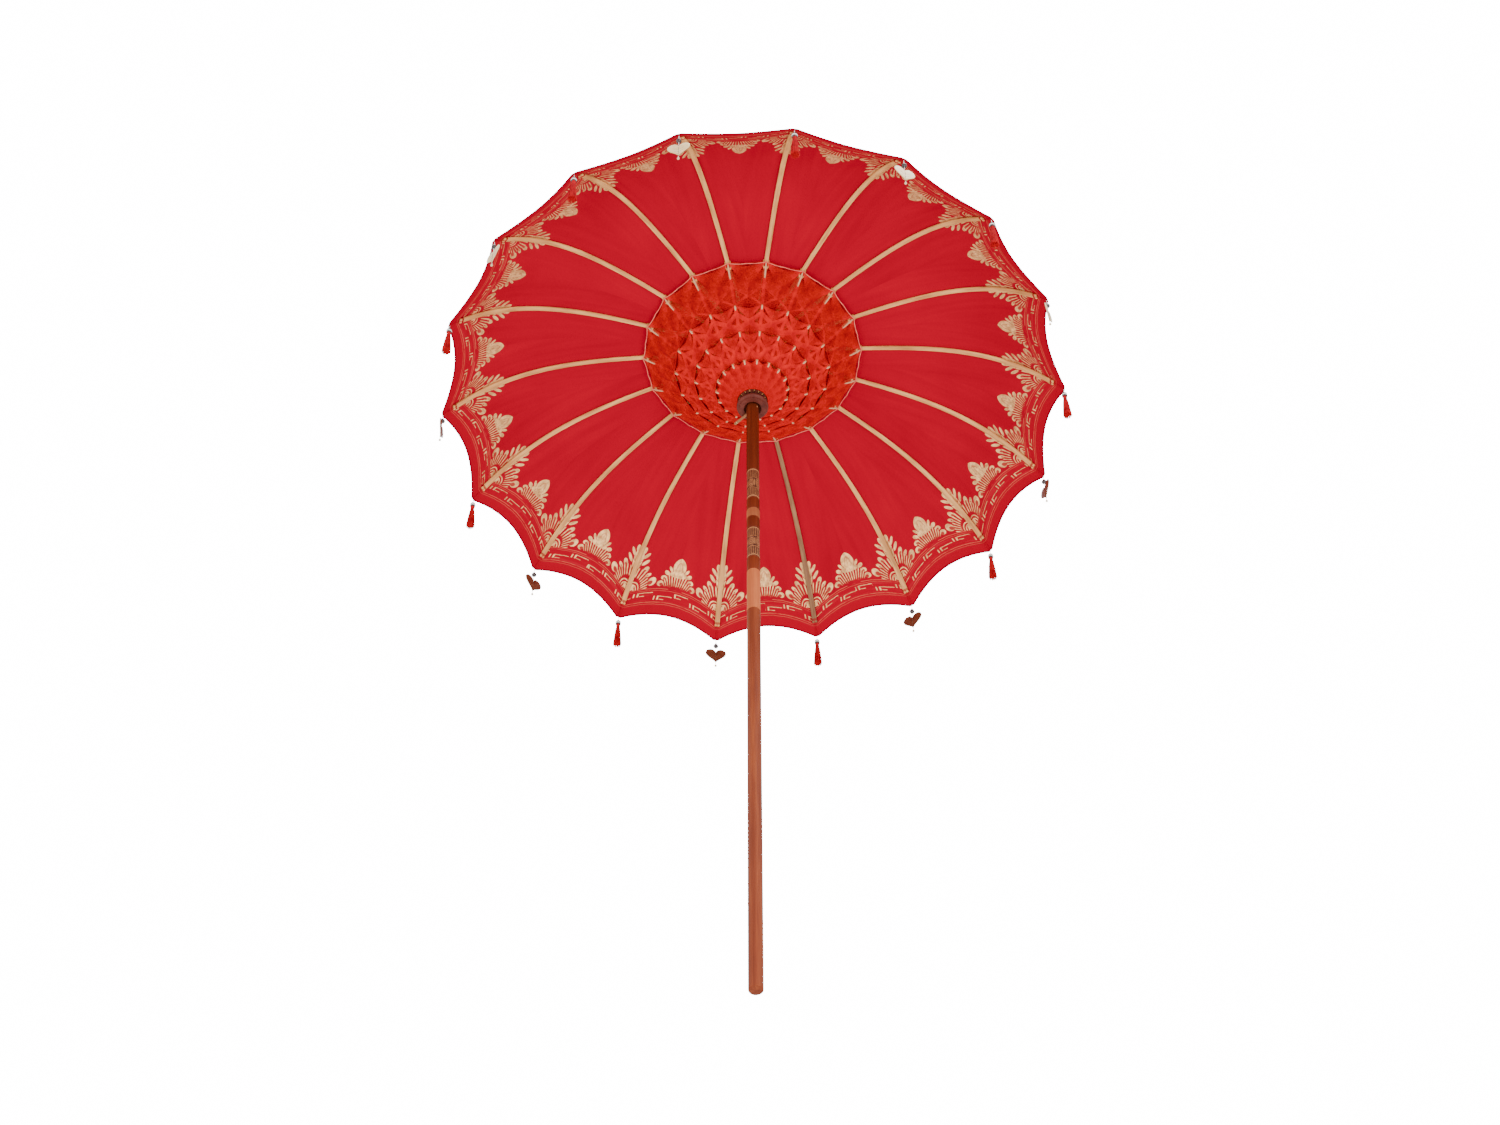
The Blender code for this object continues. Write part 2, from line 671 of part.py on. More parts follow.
def bead_points(depth, radius):
    """Profile of a round bead on a cord, from its top to its bottom."""
    reach = 0.94 * radius
    waist = 0.72 * radius
    return [
        (CORD_RADIUS, reach - depth),
        (waist, waist - depth),
        (radius, -depth),
        (waist, -waist - depth),
        (CORD_RADIUS, -reach - depth),
    ]


def make_hearts():
    """Heart pendants under the odd ribs, with their origins at the hem corners."""
    shell = make_material("heart_shell", (0.60, 0.42, 0.26), 0.35)
    points = [(0.0, -PENDANT_TOP_GAP), (CORD_RADIUS, -PENDANT_TOP_GAP)]
    points += bead_points(HEART_BEAD_DEPTH, HEART_BEAD_RADIUS)
    end_bead = bead_points(HEART_END_BEAD_DEPTH, HEART_END_BEAD_RADIUS)
    points += end_bead
    points.append((0.0, end_bead[-1][1]))
    string = add_tool("heart_string", profile_mesh("heart_string", points, False))
    add_screw(string, 8)
    plate = add_tool("heart_plate", heart_outline_mesh())
    add_boolean(string, plate, "UNION")
    mesh = finished_mesh(string, "heart_pendant")
    remove_tools((plate,))
    for number in range(0, RIB_COUNT, 2):
        place = placed_on_rib(number, TIP_RADIUS, TIP_HEIGHT)
        add_part(f"heart_pendant_{number + 1:02d}", mesh, shell, place)


def make_tassels():
    """Tassels under the even ribs, with their origins at the hem corners."""
    yarn = make_material("tassel_yarn", (0.60, 0.02, 0.02), 0.75)
    waist = TASSEL_BEAD_RADIUS - TASSEL_FLARE
    points = [
        (0.0, -PENDANT_TOP_GAP),
        (CORD_RADIUS, -PENDANT_TOP_GAP),
        (CORD_RADIUS, -TASSEL_BEAD_TOP),
        (waist, -TASSEL_BEAD_TOP),
        (TASSEL_BEAD_RADIUS, -TASSEL_BEAD_TOP - TASSEL_BEAD_EDGE),
        (TASSEL_BEAD_RADIUS, -TASSEL_BEAD_BOTTOM + TASSEL_BEAD_EDGE),
        (TASSEL_NECK_RADIUS, -TASSEL_BEAD_BOTTOM),
        (TASSEL_NECK_RADIUS + TASSEL_FLARE, -TASSEL_BEAD_BOTTOM - TASSEL_NECK_LENGTH),
        (TASSEL_SKIRT_RADIUS, -TASSEL_BOTTOM),
        (0.0, -TASSEL_BOTTOM),
    ]
    blank = add_tool("tassel_blank", profile_mesh("tassel_blank", points, False))
    add_screw(blank, 8)
    mesh = finished_mesh(blank, "tassel")
    for number in range(1, RIB_COUNT, 2):
        place = placed_on_rib(number, TIP_RADIUS, TIP_HEIGHT)
        add_part(f"tassel_{number + 1:02d}", mesh, yarn, place)


clear_scene()
PARTS = make_collection("oil_paper_umbrella")
TOOLS = make_collection("cutters")
make_lower_pole()
make_upper_pole()
make_crown()
make_runner()
make_peg()
make_ribs()
make_stretchers()
make_canopy()
make_hearts()
make_tassels()
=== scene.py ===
import json
from math import atan, atan2, cos, hypot, pi, radians, sin
from random import Random

import bmesh
import bpy
import numpy as np
from mathutils import Matrix, Vector


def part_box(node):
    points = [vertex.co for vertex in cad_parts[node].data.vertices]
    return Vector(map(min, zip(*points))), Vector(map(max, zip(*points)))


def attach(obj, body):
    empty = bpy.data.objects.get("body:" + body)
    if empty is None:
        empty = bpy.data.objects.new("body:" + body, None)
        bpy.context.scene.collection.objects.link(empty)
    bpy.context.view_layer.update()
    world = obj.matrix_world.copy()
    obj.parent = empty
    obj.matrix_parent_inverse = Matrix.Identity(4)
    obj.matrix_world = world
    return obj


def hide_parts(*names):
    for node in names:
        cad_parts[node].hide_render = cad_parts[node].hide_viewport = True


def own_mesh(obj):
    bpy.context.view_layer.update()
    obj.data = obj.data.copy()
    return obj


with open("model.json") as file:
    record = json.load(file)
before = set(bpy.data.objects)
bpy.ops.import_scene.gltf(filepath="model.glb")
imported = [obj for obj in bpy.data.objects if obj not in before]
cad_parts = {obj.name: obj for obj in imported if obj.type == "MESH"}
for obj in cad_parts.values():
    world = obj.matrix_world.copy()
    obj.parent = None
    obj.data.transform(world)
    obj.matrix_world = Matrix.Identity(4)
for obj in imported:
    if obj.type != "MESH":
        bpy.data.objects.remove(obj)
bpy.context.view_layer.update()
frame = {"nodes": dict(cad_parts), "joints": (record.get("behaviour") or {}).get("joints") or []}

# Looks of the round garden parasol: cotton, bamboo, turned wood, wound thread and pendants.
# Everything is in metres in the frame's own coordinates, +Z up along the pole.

JOINTS = {joint["name"]: joint for joint in frame["joints"]}


def ring_place(name):
    """Distance from the pole's axis and height of a joint."""
    x, y, z = JOINTS[name]["pos_m"]
    return hypot(x, y), z


# Sizes read from the frame
HINGE_RADIUS, HINGE_HEIGHT = ring_place("rib_hinge_01")
PIVOT_RADIUS, PIVOT_HEIGHT = ring_place("stretcher_pin_01")
TIP_RADIUS, TIP_HEIGHT = ring_place("pendant_swing_01")
FIRST_AZIMUTH = atan2(JOINTS["rib_hinge_01"]["pos_m"][1], JOINTS["rib_hinge_01"]["pos_m"][0])
RIB_COUNT = sum(name.startswith("rib_hinge_") for name in JOINTS)
PITCH = 2 * pi / RIB_COUNT
HALF_PITCH = PITCH / 2
FOLD = radians(66.0)  # how far a rib turns down when the parasol is shut
PROFILE_POWER = 4.7
RISE = (HINGE_HEIGHT - TIP_HEIGHT) / (1 - (HINGE_RADIUS / TIP_RADIUS) ** PROFILE_POWER)
POLE_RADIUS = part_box("pole_upper")[1].x
POLE_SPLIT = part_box("pole_upper")[0].z
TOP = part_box("crown")[1].z
RUNNER_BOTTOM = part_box("runner")[0].z
RUNNER_PIVOT = (0.04, RUNNER_BOTTOM + 0.045)
PEG_NOTCH = 0.009
PEG_AZIMUTH = atan2(JOINTS["peg_pull"]["axis"][1], JOINTS["peg_pull"]["axis"][0])

# Pole, as heights
CARVED_BANDS = ((1.945, 2.083), (1.665, 1.8))
RING_BAND = (1.853, 1.892)
BARE_TOP = 1.6045
TENON_RADIUS = 0.0125
SOCKET_RADIUS = 0.0131
SOCKET_DEPTH = 0.105
TOP_TENON_RADIUS = 0.014
TOP_TENON_LENGTH = 0.022
CARVING_DEPTH = 0.0008
RING_SWELL = 0.0002
ZONE_GROOVE = 0.001
ZONE_BEVEL = 0.0012

# Crown and runner: radius, then depth under the top or height over the bottom
HUB_BOTTOM = TOP - 0.094
CAP_BOTTOM = TOP - 0.0675
HUB_RADIUS = 0.0245
HUB_BORE = 0.0146
HUB_BORE_TOP = HUB_BOTTOM + 0.0223
SLOT_WIDTH = 0.0058
WIRE_RADIUS = 0.0009
CROWN_PROFILE = (
    (0.0, 0.0), (0.006, 0.002), (0.0095, 0.01), (0.006, 0.019), (0.008, 0.026), (0.017, 0.034),
    (0.019, 0.042), (0.013, 0.049), (0.02, 0.053), (0.052, 0.059), (0.056, 0.063), (0.056, 0.0675),
)
RUNNER_FLANGE = 0.008
RUNNER_BORE = 0.0197
RUNNER_FOOT = (
    (0.036, 0.0205), (0.0452, 0.0175), (0.0488, 0.0148), (0.0492, 0.0125), (0.048, 0.0095),
    (0.0435, 0.0074), (0.0425, 0.0055), (0.0412, 0.004), (0.041, 0.0), (0.0268, 0.0),
    (0.025, 0.0045), (0.0228, 0.009), (RUNNER_BORE, 0.012),
)

# Canopy
CLOTH_RISE = 0.0042
CLOTH_THICKNESS = 0.0006
HEM_THICKNESS = 0.0016
HEM_WIDTH = 0.009
HEM_SCALLOP = 0.026
BANDS = (0.0495, 0.26, 0.42, 0.57, 0.7, 0.8, 0.89, 1.0)
BAND_ROWS = 8
HALF_COLUMNS = 12
CLOTH_FLAT = 0.0082  # half the width of the strip that lies flat on a rib

# Ribs, with each bamboo joint's place along the rib and how much that place varies
RIB_JOINTS = ((0.26, 0.0), (0.45, 0.03), (0.66, 0.04), (0.85, 0.0))
RIB_JOINT_REACH = 0.012
RIB_JOINT_WIDENING = 0.0011
RIB_JOINT_THICKENING = 0.0006
RIB_STEPS = 64
RIB_OVERRUN = 0.006
RIB_TAPER_START = 0.072
RIB_THINNING = 0.12
RIB_BLADE_END = 0.06
RIB_SHOULDER = 0.014
RIB_BEVEL = 0.0008
RIB_INNER_WIDTH = 0.012
RIB_OUTER_WIDTH = 0.0165
RIB_HALF_HEIGHT = 0.003
RIB_WOOD_END = 0.97
# painted shade: this rib gets a darker copy of the bamboo, standing for the pole's shadow on it
SHADED_RIB = 9
PIN_HALF_LENGTH = 0.0098
PIN_RADIUS = 0.0016
LASHING_SECTION = (0.0175, 0.0068)
LASHING_TURNS = 3

# Stretchers: place along the bar, width and height; the outer end is forked round the rib
BLADE_WIDTH = 0.005
BLADE_LENGTH = 0.047
BAR_WIDTH = 0.01
BAR_HEIGHT = 0.009
FORK_WIDTH = 0.018
EAR_SECTIONS = ((-0.019, 0.009), (-0.006, 0.0088), (0.0, 0.008), (0.0038, 0.005))
EAR_WIDTH = 0.0028
EAR_OFFSET = 0.0079
BARE_END = 0.04
WINDING_PITCH = 0.0011
WINDING_SWELL = 0.0005
WINDING_SIZE = (0.009, 0.0124, 0.0112)  # width over the blade, width over the bar, and height

# Nubs of bare wood under the stretchers: share of the length and of the full size
NUB_SHAPE = ((0.0, 0.4), (0.12, 0.85), (0.35, 1.0), (0.75, 1.0), (0.92, 0.8), (1.0, 0.4))
NUB_DROP = 0.0072
NUB_SIZE = (0.0052, 0.0072)
NUB_LENGTH = 0.011
OUTER_NUB_LENGTH = 0.036

# Thread web: the radii of its levels, and for each level its fans and its crossing net
WEB_LEVELS = (0.052, 0.114, 0.18, 0.242, PIVOT_RADIUS)
WEB_JITTER = 0.0004
FAN_THREADS = (12, 13, 12, 16)
INNER_FAN_THREADS = 9
UPPER_THREADS = 12
NET_THREADS = (9, 12, 12, 17)
NET_SLANTS = (0.75, 0.6, 0.55, 0.42)
NET_THICKNESS = (0.00085, 0.00085, 0.00085, 0.00075)
COLLAR_THREADS = 16
COLLAR_THICKNESS = 0.00085
CORD_DROP = 0.0092
CORD_SAG = 0.003
CORD_STEPS = 6

# Pendants; all heights in them are under the rib's tip
HEART_STEPS = 64
TASSEL_STRANDS = 150
TASSEL_WRAPS = 6
GOLDEN_ANGLE = 2.39996

# Light: the even light of the surroundings, and how bright the backdrop looks
AMBIENT = 1.55
BACKDROP = 16.0
FLOOR_SIZE = 30.0
LIGHT_AIM = (0.0, 0.0, 2.4)
LIGHT_SIZE = 3.0

# Camera, as measured from the photo's perspective
CAMERA_PLACE = (0.0347, -4.934, -4.671)
CAMERA_AHEAD = (-0.00555, 0.61512, 0.78841)
CAMERA_UP = (0.0113, -0.78834, 0.61514)
CAMERA_LENS = 67.845
CAMERA_SENSOR = 36.0

ROOT = bpy.context.scene.collection


def profile_height(radius):
    """Height of a rib's centre line."""
    return TIP_HEIGHT + RISE * (1 - (max(radius, 0.0) / TIP_RADIUS) ** PROFILE_POWER)


def profile_slope(radius):
    """Angle of a rib's centre line to the horizontal."""
    share = max(radius, 0.0) / TIP_RADIUS
    return atan(-RISE * PROFILE_POWER / TIP_RADIUS * share ** (PROFILE_POWER - 1))


ARC_RADII = np.linspace(0.0, TIP_RADIUS, 400)
ARC_HEIGHTS = np.array([profile_height(radius) for radius in ARC_RADII])
ARC_STEPS = np.hypot(np.diff(ARC_RADII), np.diff(ARC_HEIGHTS))
ARC_LENGTHS = np.concatenate([[0.0], np.cumsum(ARC_STEPS)])


def arc_length(radius):
    """Length along the profile from the axis to a radius."""
    return float(np.interp(radius, ARC_RADII, ARC_LENGTHS))


def folded_radius(radius):
    """Where a point of the rib's centre line goes when the parasol is shut."""
    reach = radius - HINGE_RADIUS
    drop = profile_height(radius) - HINGE_HEIGHT
    return HINGE_RADIUS + reach * cos(FOLD) + drop * sin(FOLD)


def folded_stretcher_radius(radius):
    """Where a point of the stretcher goes when the parasol is shut."""
    share = (radius - RUNNER_PIVOT[0]) / (PIVOT_RADIUS - RUNNER_PIVOT[0])
    return RUNNER_PIVOT[0] + share * (folded_radius(PIVOT_RADIUS) - RUNNER_PIVOT[0])


def azimuth(number):
    """Azimuth of a rib, counted from 0."""
    return FIRST_AZIMUTH + PITCH * number


def turn(number):
    """Rotation that takes the X axis to a rib."""
    return Matrix.Rotation(azimuth(number), 4, "Z")


# ---------------------------------------------------------------- materials


class Field:
    """A number at each point of a surface, made by shader nodes."""

    def __init__(self, tree, socket):
        self.tree = tree
        self.socket = socket

    def math(self, operation, *others, clamp=False):
        node = self.tree.nodes.new("ShaderNodeMath")
        node.operation = operation
        node.use_clamp = clamp
        for place, item in enumerate((self, *others)):
            if isinstance(item, Field):
                self.tree.links.new(item.socket, node.inputs[place])
            else:
                node.inputs[place].default_value = item
        return Field(self.tree, node.outputs[0])

    def __add__(self, other):
        return self.math("ADD", other)

    def __sub__(self, other):
        return self.math("SUBTRACT", other)

    def __mul__(self, other):
        return self.math("MULTIPLY", other)

    def __truediv__(self, other):
        return self.math("DIVIDE", other)

    def low(self, other):
        return self.math("MINIMUM", other)

    def high(self, other):
        return self.math("MAXIMUM", other)

    def size(self):
        return self.math("ABSOLUTE")

    def below(self, edge, soft):
        """1 where the field is under the edge, falling softly to 0 above it."""
        return ((self - edge) * (-1.0 / soft)).math("ADD", 0.5, clamp=True)

    def above(self, edge, soft):
        """1 where the field is over the edge."""
        return ((self - edge) * (1.0 / soft)).math("ADD", 0.5, clamp=True)


class Finish:
    """A Principled material that is built up step by step."""

    def __init__(self, name, roughness=0.5):
        self.material = bpy.data.materials.new(name)
        self.material.use_nodes = True
        self.tree = self.material.node_tree
        self.shader = self.tree.nodes["Principled BSDF"]
        self.shader.inputs["Roughness"].default_value = roughness

    def link(self, source, target):
        self.tree.links.new(source, target)

    def node(self, kind, **settings):
        node = self.tree.nodes.new(kind)
        for key, item in settings.items():
            setattr(node, key, item)
        return node

    def uv(self, name):
        """A UV map's vector."""
        return self.node("ShaderNodeUVMap", uv_map=name).outputs["UV"]

    def place(self):
        """The vector of the object's own coordinates."""
        return self.node("ShaderNodeTexCoord").outputs["Object"]

    def parts(self, vector):
        """The X, Y and Z of a vector, as fields."""
        split = self.node("ShaderNodeSeparateXYZ")
        self.link(vector, split.inputs[0])
        return [Field(self.tree, socket) for socket in split.outputs]

    def stretched(self, vector, scale):
        """A vector stretched along its axes."""
        mapping = self.node("ShaderNodeMapping")
        mapping.inputs["Scale"].default_value = scale
        self.link(vector, mapping.inputs["Vector"])
        return mapping.outputs[0]

    def noise(self, vector, scale, detail=3.0, rough=0.55, distortion=0.0):
        """A noise field from 0 to 1."""
        node = self.node("ShaderNodeTexNoise")
        node.inputs["Scale"].default_value = scale
        node.inputs["Detail"].default_value = detail
        node.inputs["Roughness"].default_value = rough
        node.inputs["Distortion"].default_value = distortion
        self.link(vector, node.inputs["Vector"])
        return Field(self.tree, node.outputs["Fac"])

    def ellipse(self, vector, centre, radii, angle=0.0):
        """1 at the edge of an ellipse, less inside and more outside."""
        mapping = self.node("ShaderNodeMapping", vector_type="TEXTURE")
        mapping.inputs["Location"].default_value = (*centre, 0.0)
        mapping.inputs["Rotation"].default_value = (0.0, 0.0, radians(angle))
        mapping.inputs["Scale"].default_value = (*radii, 1.0)
        self.link(vector, mapping.inputs["Vector"])
        length = self.node("ShaderNodeVectorMath", operation="LENGTH")
        self.link(mapping.outputs[0], length.inputs[0])
        return Field(self.tree, length.outputs["Value"])

    def ramp(self, field, *stops):
        """Colours along a field, as pairs of position and colour."""
        ramp = self.node("ShaderNodeValToRGB")
        elements = ramp.color_ramp.elements
        while len(elements) < len(stops):
            elements.new(0.5)
        for element, (position, colour) in zip(elements, stops):
            element.position = position
            element.color = (*colour, 1.0)
        self.link(field.socket, ramp.inputs[0])
        return ramp.outputs[0]

    def mix(self, field, first, second):
        """A colour between two others; a colour is a socket or three numbers."""
        mix = self.node("ShaderNodeMix", data_type="RGBA")
        self.link(field.socket, mix.inputs[0])
        for place, item in ((6, first), (7, second)):
            if isinstance(item, tuple):
                mix.inputs[place].default_value = (*item, 1.0)
            else:
                self.link(item, mix.inputs[place])
        return mix.outputs[2]

    def colour(self, item):
        """Set the base colour."""
        self.link(item, self.shader.inputs["Base Color"])
        return self

    def rough(self, field, low, high):
        """Roughness between two values along a field."""
        self.link((field * (high - low) + low).socket, self.shader.inputs["Roughness"])
        return self

    def bump(self, field, distance, strength=1.0):
        """Relief from a field."""
        bump = self.node("ShaderNodeBump")
        bump.inputs["Distance"].default_value = distance
        bump.inputs["Strength"].default_value = strength
        self.link(field.socket, bump.inputs["Height"])
        self.link(bump.outputs[0], self.shader.inputs["Normal"])
        return self

    def set(self, **numbers):
        """Plain numbers on the shader's sockets, with _ for a space."""
        for key, item in numbers.items():
            self.shader.inputs[key.replace("_", " ")].default_value = item
        return self


def border_paint(make):
    """The gold border: lines, key marks, a leaf crown in each gore and scrolls at each rib."""
    gore = make.uv("gore")
    rib = make.uv("rib")
    across, up, _ = make.parts(gore)
    side, _, _ = make.parts(rib)
    signed, _, _ = make.parts(make.uv("weave"))
    wobble = make.noise(gore, 45.0, 2.0) - 0.5
    height = up + wobble * 0.0035
    soft = 0.0013

    def line(level, half):
        return (height - level).size().below(half, soft)

    def leaves(vector, shapes):
        found = None
        for centre, radii, angle in shapes:
            shape = make.ellipse(vector, centre, radii, angle)
            found = shape if found is None else found.low(shape)
        return found

    # lines along the hem, and a row of key marks between them
    gap = make.noise(make.stretched(gore, (16.0, 60.0, 1.0)), 1.0, 1.0).above(0.4, 0.04)
    thin = line(0.0365, 0.0004) * gap
    thin = thin.high(line(0.0435, 0.0007)).high(line(0.083, 0.0004)).high(line(0.0895, 0.0007) * gap)
    cell = (signed * (1 / 0.064)).math("FRACT") - 0.5
    raised = (signed * (0.5 / 0.064)).math("FRACT").above(0.5, 0.01)
    level = height - raised * 0.012 - 0.0585
    stroke = level.size().below(0.0065, soft)
    keys = (cell - 0.2).size().below(0.04, 0.03) * stroke
    keys = keys.high((cell - 0.38).size().below(0.03, 0.03) * stroke)
    keys = keys.high((level - 0.0058).size().below(0.001, soft) * cell.below(0.2, 0.03))
    keys = keys.high((level + 0.005).size().below(0.001, soft) * cell.size().below(0.12, 0.03))

    # an onion leaf over round side leaves and a comb of stems, in the middle of each gore
    left = make.ellipse(gore, (-0.012, 0.165), (0.033, 0.033))
    flame = left.high(make.ellipse(gore, (0.012, 0.165), (0.033, 0.033)))
    flame = flame.low(make.ellipse(gore, (0.0, 0.156), (0.0185, 0.014)))
    petals = leaves(gore, (
        ((0.0265, 0.156), (0.0042, 0.0115), -32),
        ((0.037, 0.144), (0.0062, 0.01), -50),
        ((0.046, 0.128), (0.0085, 0.0072), -10),
        ((0.053, 0.108), (0.0105, 0.0095), 0),
    ))
    hooks = leaves(gore, (
        ((0.043, 0.125), (0.0048, 0.0036), 30),
        ((0.0495, 0.1045), (0.0062, 0.0052), 30),
    ))
    spread = (up - 0.089) * 9.0 + 0.55
    comb = (across / spread * (2 * pi / 0.01)).math("COSINE").above(0.3, 0.4)
    fan = make.ellipse(gore, (0.0, 0.113), (0.044, 0.036))
    comb = comb * fan.below(1.0, 0.08) * (height + wobble * 0.03).above(0.102, 0.006)
    body = make.ellipse(gore, (0.0, 0.141), (0.029, 0.0105)).below(1.0, 0.15)
    gills = (across / spread * (2 * pi / 0.02)).math("COSINE").above(-0.6, 0.5)
    ridge = across.below(0.0007, 0.0008) * (up - 0.165).size().below(0.016, 0.002) * 0.45
    inner = (flame - 0.62).size().below(0.05, 0.05) * 0.45
    crown = flame.below(1.0, 0.06) * (ridge.high(inner) * -1.0 + 1.0)
    crown = crown.high(petals.below(1.0, 0.12) * (hooks.below(1.0, 0.2) * -0.9 + 1.0))
    crown = crown.high(comb).high(body * gills)

    # curls that step down both sides of each rib, with stems and arches behind them
    scroll = leaves(rib, (
        ((0.01, 0.233), (0.008, 0.013), 10),
        ((0.0235, 0.21), (0.011, 0.0066), 35),
        ((0.028, 0.186), (0.0115, 0.0068), 30),
        ((0.037, 0.16), (0.0085, 0.0105), 0),
        ((0.05, 0.139), (0.0085, 0.0066), 20),
        ((0.068, 0.115), (0.0125, 0.0145), 0),
        ((0.012, 0.103), (0.0065, 0.008), 0),
        ((0.008, 0.2), (0.008, 0.03), 0),
    ))
    hollow = leaves(rib, (
        ((0.0335, 0.1555), (0.005, 0.0052), 20),
        ((0.0465, 0.1365), (0.0044, 0.003), 20),
        ((0.0635, 0.111), (0.0078, 0.0072), 20),
        ((0.015, 0.195), (0.008, 0.0014), 30),
        ((0.015, 0.17), (0.008, 0.0014), 30),
    ))
    swirl = make.ellipse(rib, (0.0, 0.083), (0.066, 0.1))
    turned = side.math("ARCTAN2", up - 0.076)
    stems = (turned * 40.0).math("COSINE").above(0.35, 0.4)
    stems = stems * swirl.below(0.9, 0.05) * swirl.above(0.6, 0.05)
    arches = make.ellipse(rib, (0.006, 0.088), (0.027, 0.036))
    arcs = (arches * (2 * pi / 0.25)).math("COSINE").above(0.25, 0.4)
    arcs = arcs * arches.below(1.08, 0.04) * arches.above(0.45, 0.04)
    scrolls = scroll.below(1.0, 0.1) * (hollow.below(1.0, 0.2) * -0.9 + 1.0)
    scrolls = scrolls.high(stems).high(arcs) * up.above(0.0915, 0.0015)

    gold = crown.high(scrolls).high(keys)
    worn = make.noise(gore, 85.0, 4.0, 0.7).above(0.27, 0.14)
    faded = make.noise(gore, 30.0, 3.0).above(0.38, 0.12)
    return gold * worn, thin * faded


def cotton_finish():
    """Dyed cotton with its painted border."""
    make = Finish("canopy_cotton_paint", 0.85)
    make.set(Specular_IOR_Level=0.0)
    place = make.uv("weave")
    cloud = make.noise(place, 3.2, 3.0)
    streak = make.noise(make.stretched(place, (40.0, 3.0, 1.0)), 1.0, 2.0)
    dye = cloud * 0.45 + streak * 0.35 + 0.1
    base = make.ramp(dye, (0.3, (0.285, 0.0003, 0.0115)), (0.7, (0.4, 0.0004, 0.015)))
    gold, thin = border_paint(make)
    _, up, _ = make.parts(make.uv("gore"))
    band = up.below(0.08, 0.008)
    base = make.mix(band * 0.7, base, (0.36, 0.0004, 0.013))
    brush = make.noise(make.stretched(place, (6.0, 110.0, 1.0)), 1.0, 3.0).above(0.58, 0.1)
    zone = up.below(0.088, 0.006) * up.above(0.034, 0.008)
    base = make.mix(brush * zone * 0.22, base, (0.56, 0.03, 0.045))
    tone = make.noise(place, 60.0, 3.0)
    paint = make.ramp(tone, (0.3, (0.42, 0.19, 0.075)), (0.66, (0.95, 0.56, 0.23)))
    base = make.mix(thin * 0.75, base, (0.78, 0.19, 0.09))
    base = make.mix(gold * 0.97, base, paint)
    seam = up.below(0.006, 0.0015)
    make.colour(make.mix(seam * 0.6, base, (0.15, 0.001, 0.008)))
    make.link((gold * 0.6).socket, make.shader.inputs["Metallic"])
    make.rough(gold, 0.85, 0.42)
    warp, weft, _ = make.parts(place)
    weave = (warp * (2 * pi / 0.0011)).math("SINE") * (weft * (2 * pi / 0.0011)).math("SINE")
    relief = weave * 0.12 + gold * 0.5 + thin * 0.4 + make.noise(place, 18.0, 4.0) * 1.2
    return make.bump(relief, 0.0006, 0.6).material


def bamboo_finish(name, dark, middle, light):
    """Split bamboo: long fibres, darker edges and patches."""
    make = Finish(name, 0.5)
    make.set(Specular_IOR_Level=0.2)
    along = make.uv("grain")
    fibre = make.noise(make.stretched(along, (7.0, 900.0, 1.0)), 1.0, 4.0, 0.6)
    patch = make.noise(make.stretched(along, (9.0, 60.0, 1.0)), 1.0, 3.0)
    mixed = fibre * 0.45 + patch * 0.55
    base = make.ramp(mixed, (0.3, dark), (0.46, middle), (0.7, light))
    make.colour(base).rough(fibre, 0.38, 0.62)
    return make.bump(fibre, 0.0004, 0.5).material


def wood_finish(name, dark, middle, light, roughness, coat):
    """Turned, varnished wood with its grain along Z."""
    make = Finish(name, roughness)
    make.set(Coat_Weight=coat, Coat_Roughness=0.35, Specular_IOR_Level=0.1)
    place = make.place()
    grain = make.noise(make.stretched(place, (70.0, 70.0, 2.2)), 1.0, 5.0, 0.6, 0.3)
    pores = make.noise(make.stretched(place, (420.0, 420.0, 14.0)), 1.0, 2.0)
    patch = make.noise(make.stretched(place, (9.0, 9.0, 3.0)), 1.0, 2.0)
    mixed = grain * 0.55 + pores * 0.2 + patch * 0.25
    make.colour(make.ramp(mixed, (0.3, dark), (0.5, middle), (0.7, light)))
    make.rough(pores, roughness * 0.8, roughness * 1.3)
    return make.bump(grain * 0.6 + pores, 0.0003, 0.35).material


def carved_finish(low, high):
    """A carved band round the pole: eyes between rows of dots, cut into varnished wood."""
    make = Finish("carved_band_wood", 0.4)
    make.set(Specular_IOR_Level=0.2)
    middle = (low + high) / 2
    half = (high - low) / 2
    x, y, z = make.parts(make.place())
    turned = y.math("ARCTAN2", x) * (1 / (2 * pi))
    join = make.node("ShaderNodeCombineXYZ")

    def repeat(count, lift=0.0):
        cell = (turned * count + lift + 40.0).math("FRACT") - 0.5
        return cell * (2 * pi * POLE_RADIUS / count)

    eye = repeat(5)
    make.link(eye.socket, join.inputs[0])
    make.link((z - middle).socket, join.inputs[1])
    ring = make.ellipse(join.outputs[0], (0.0, 0.0), (0.01, 0.02))
    rings = (ring * (2 * pi / 0.36)).math("COSINE").above(0.0, 0.5) * ring.below(1.08, 0.1)
    leaf = make.ellipse(join.outputs[0], (0.0119, 0.0), (0.0024, 0.018)).below(1.0, 0.15)
    dots = repeat(18).size().below(0.002, 0.001)
    rows = ((z - middle) * (2 * pi / 0.0062)).math("COSINE").above(0.0, 0.4)
    outside = (z - middle).size().above(half * 0.36, 0.002)
    dots = dots * rows * outside
    rim = ((z - middle).size() - half * 0.93).size().below(0.0022, 0.001)
    rim = rim.high(((z - middle).size() - half * 0.36).size().below(0.0012, 0.001))
    wear = make.noise(make.place(), 260.0, 3.0)
    raised = rings.high(leaf).high(dots).high(rim)
    tone = raised * (wear.above(0.36, 0.3) * 0.5 + 0.5)
    cut, worn, bright = (0.05, 0.011, 0.005), (0.22, 0.07, 0.03), (0.48, 0.19, 0.08)
    make.colour(make.ramp(tone, (0.05, cut), (0.55, worn), (0.95, bright)))
    return make.bump(raised + wear * 0.3, 0.0012, 0.9).material


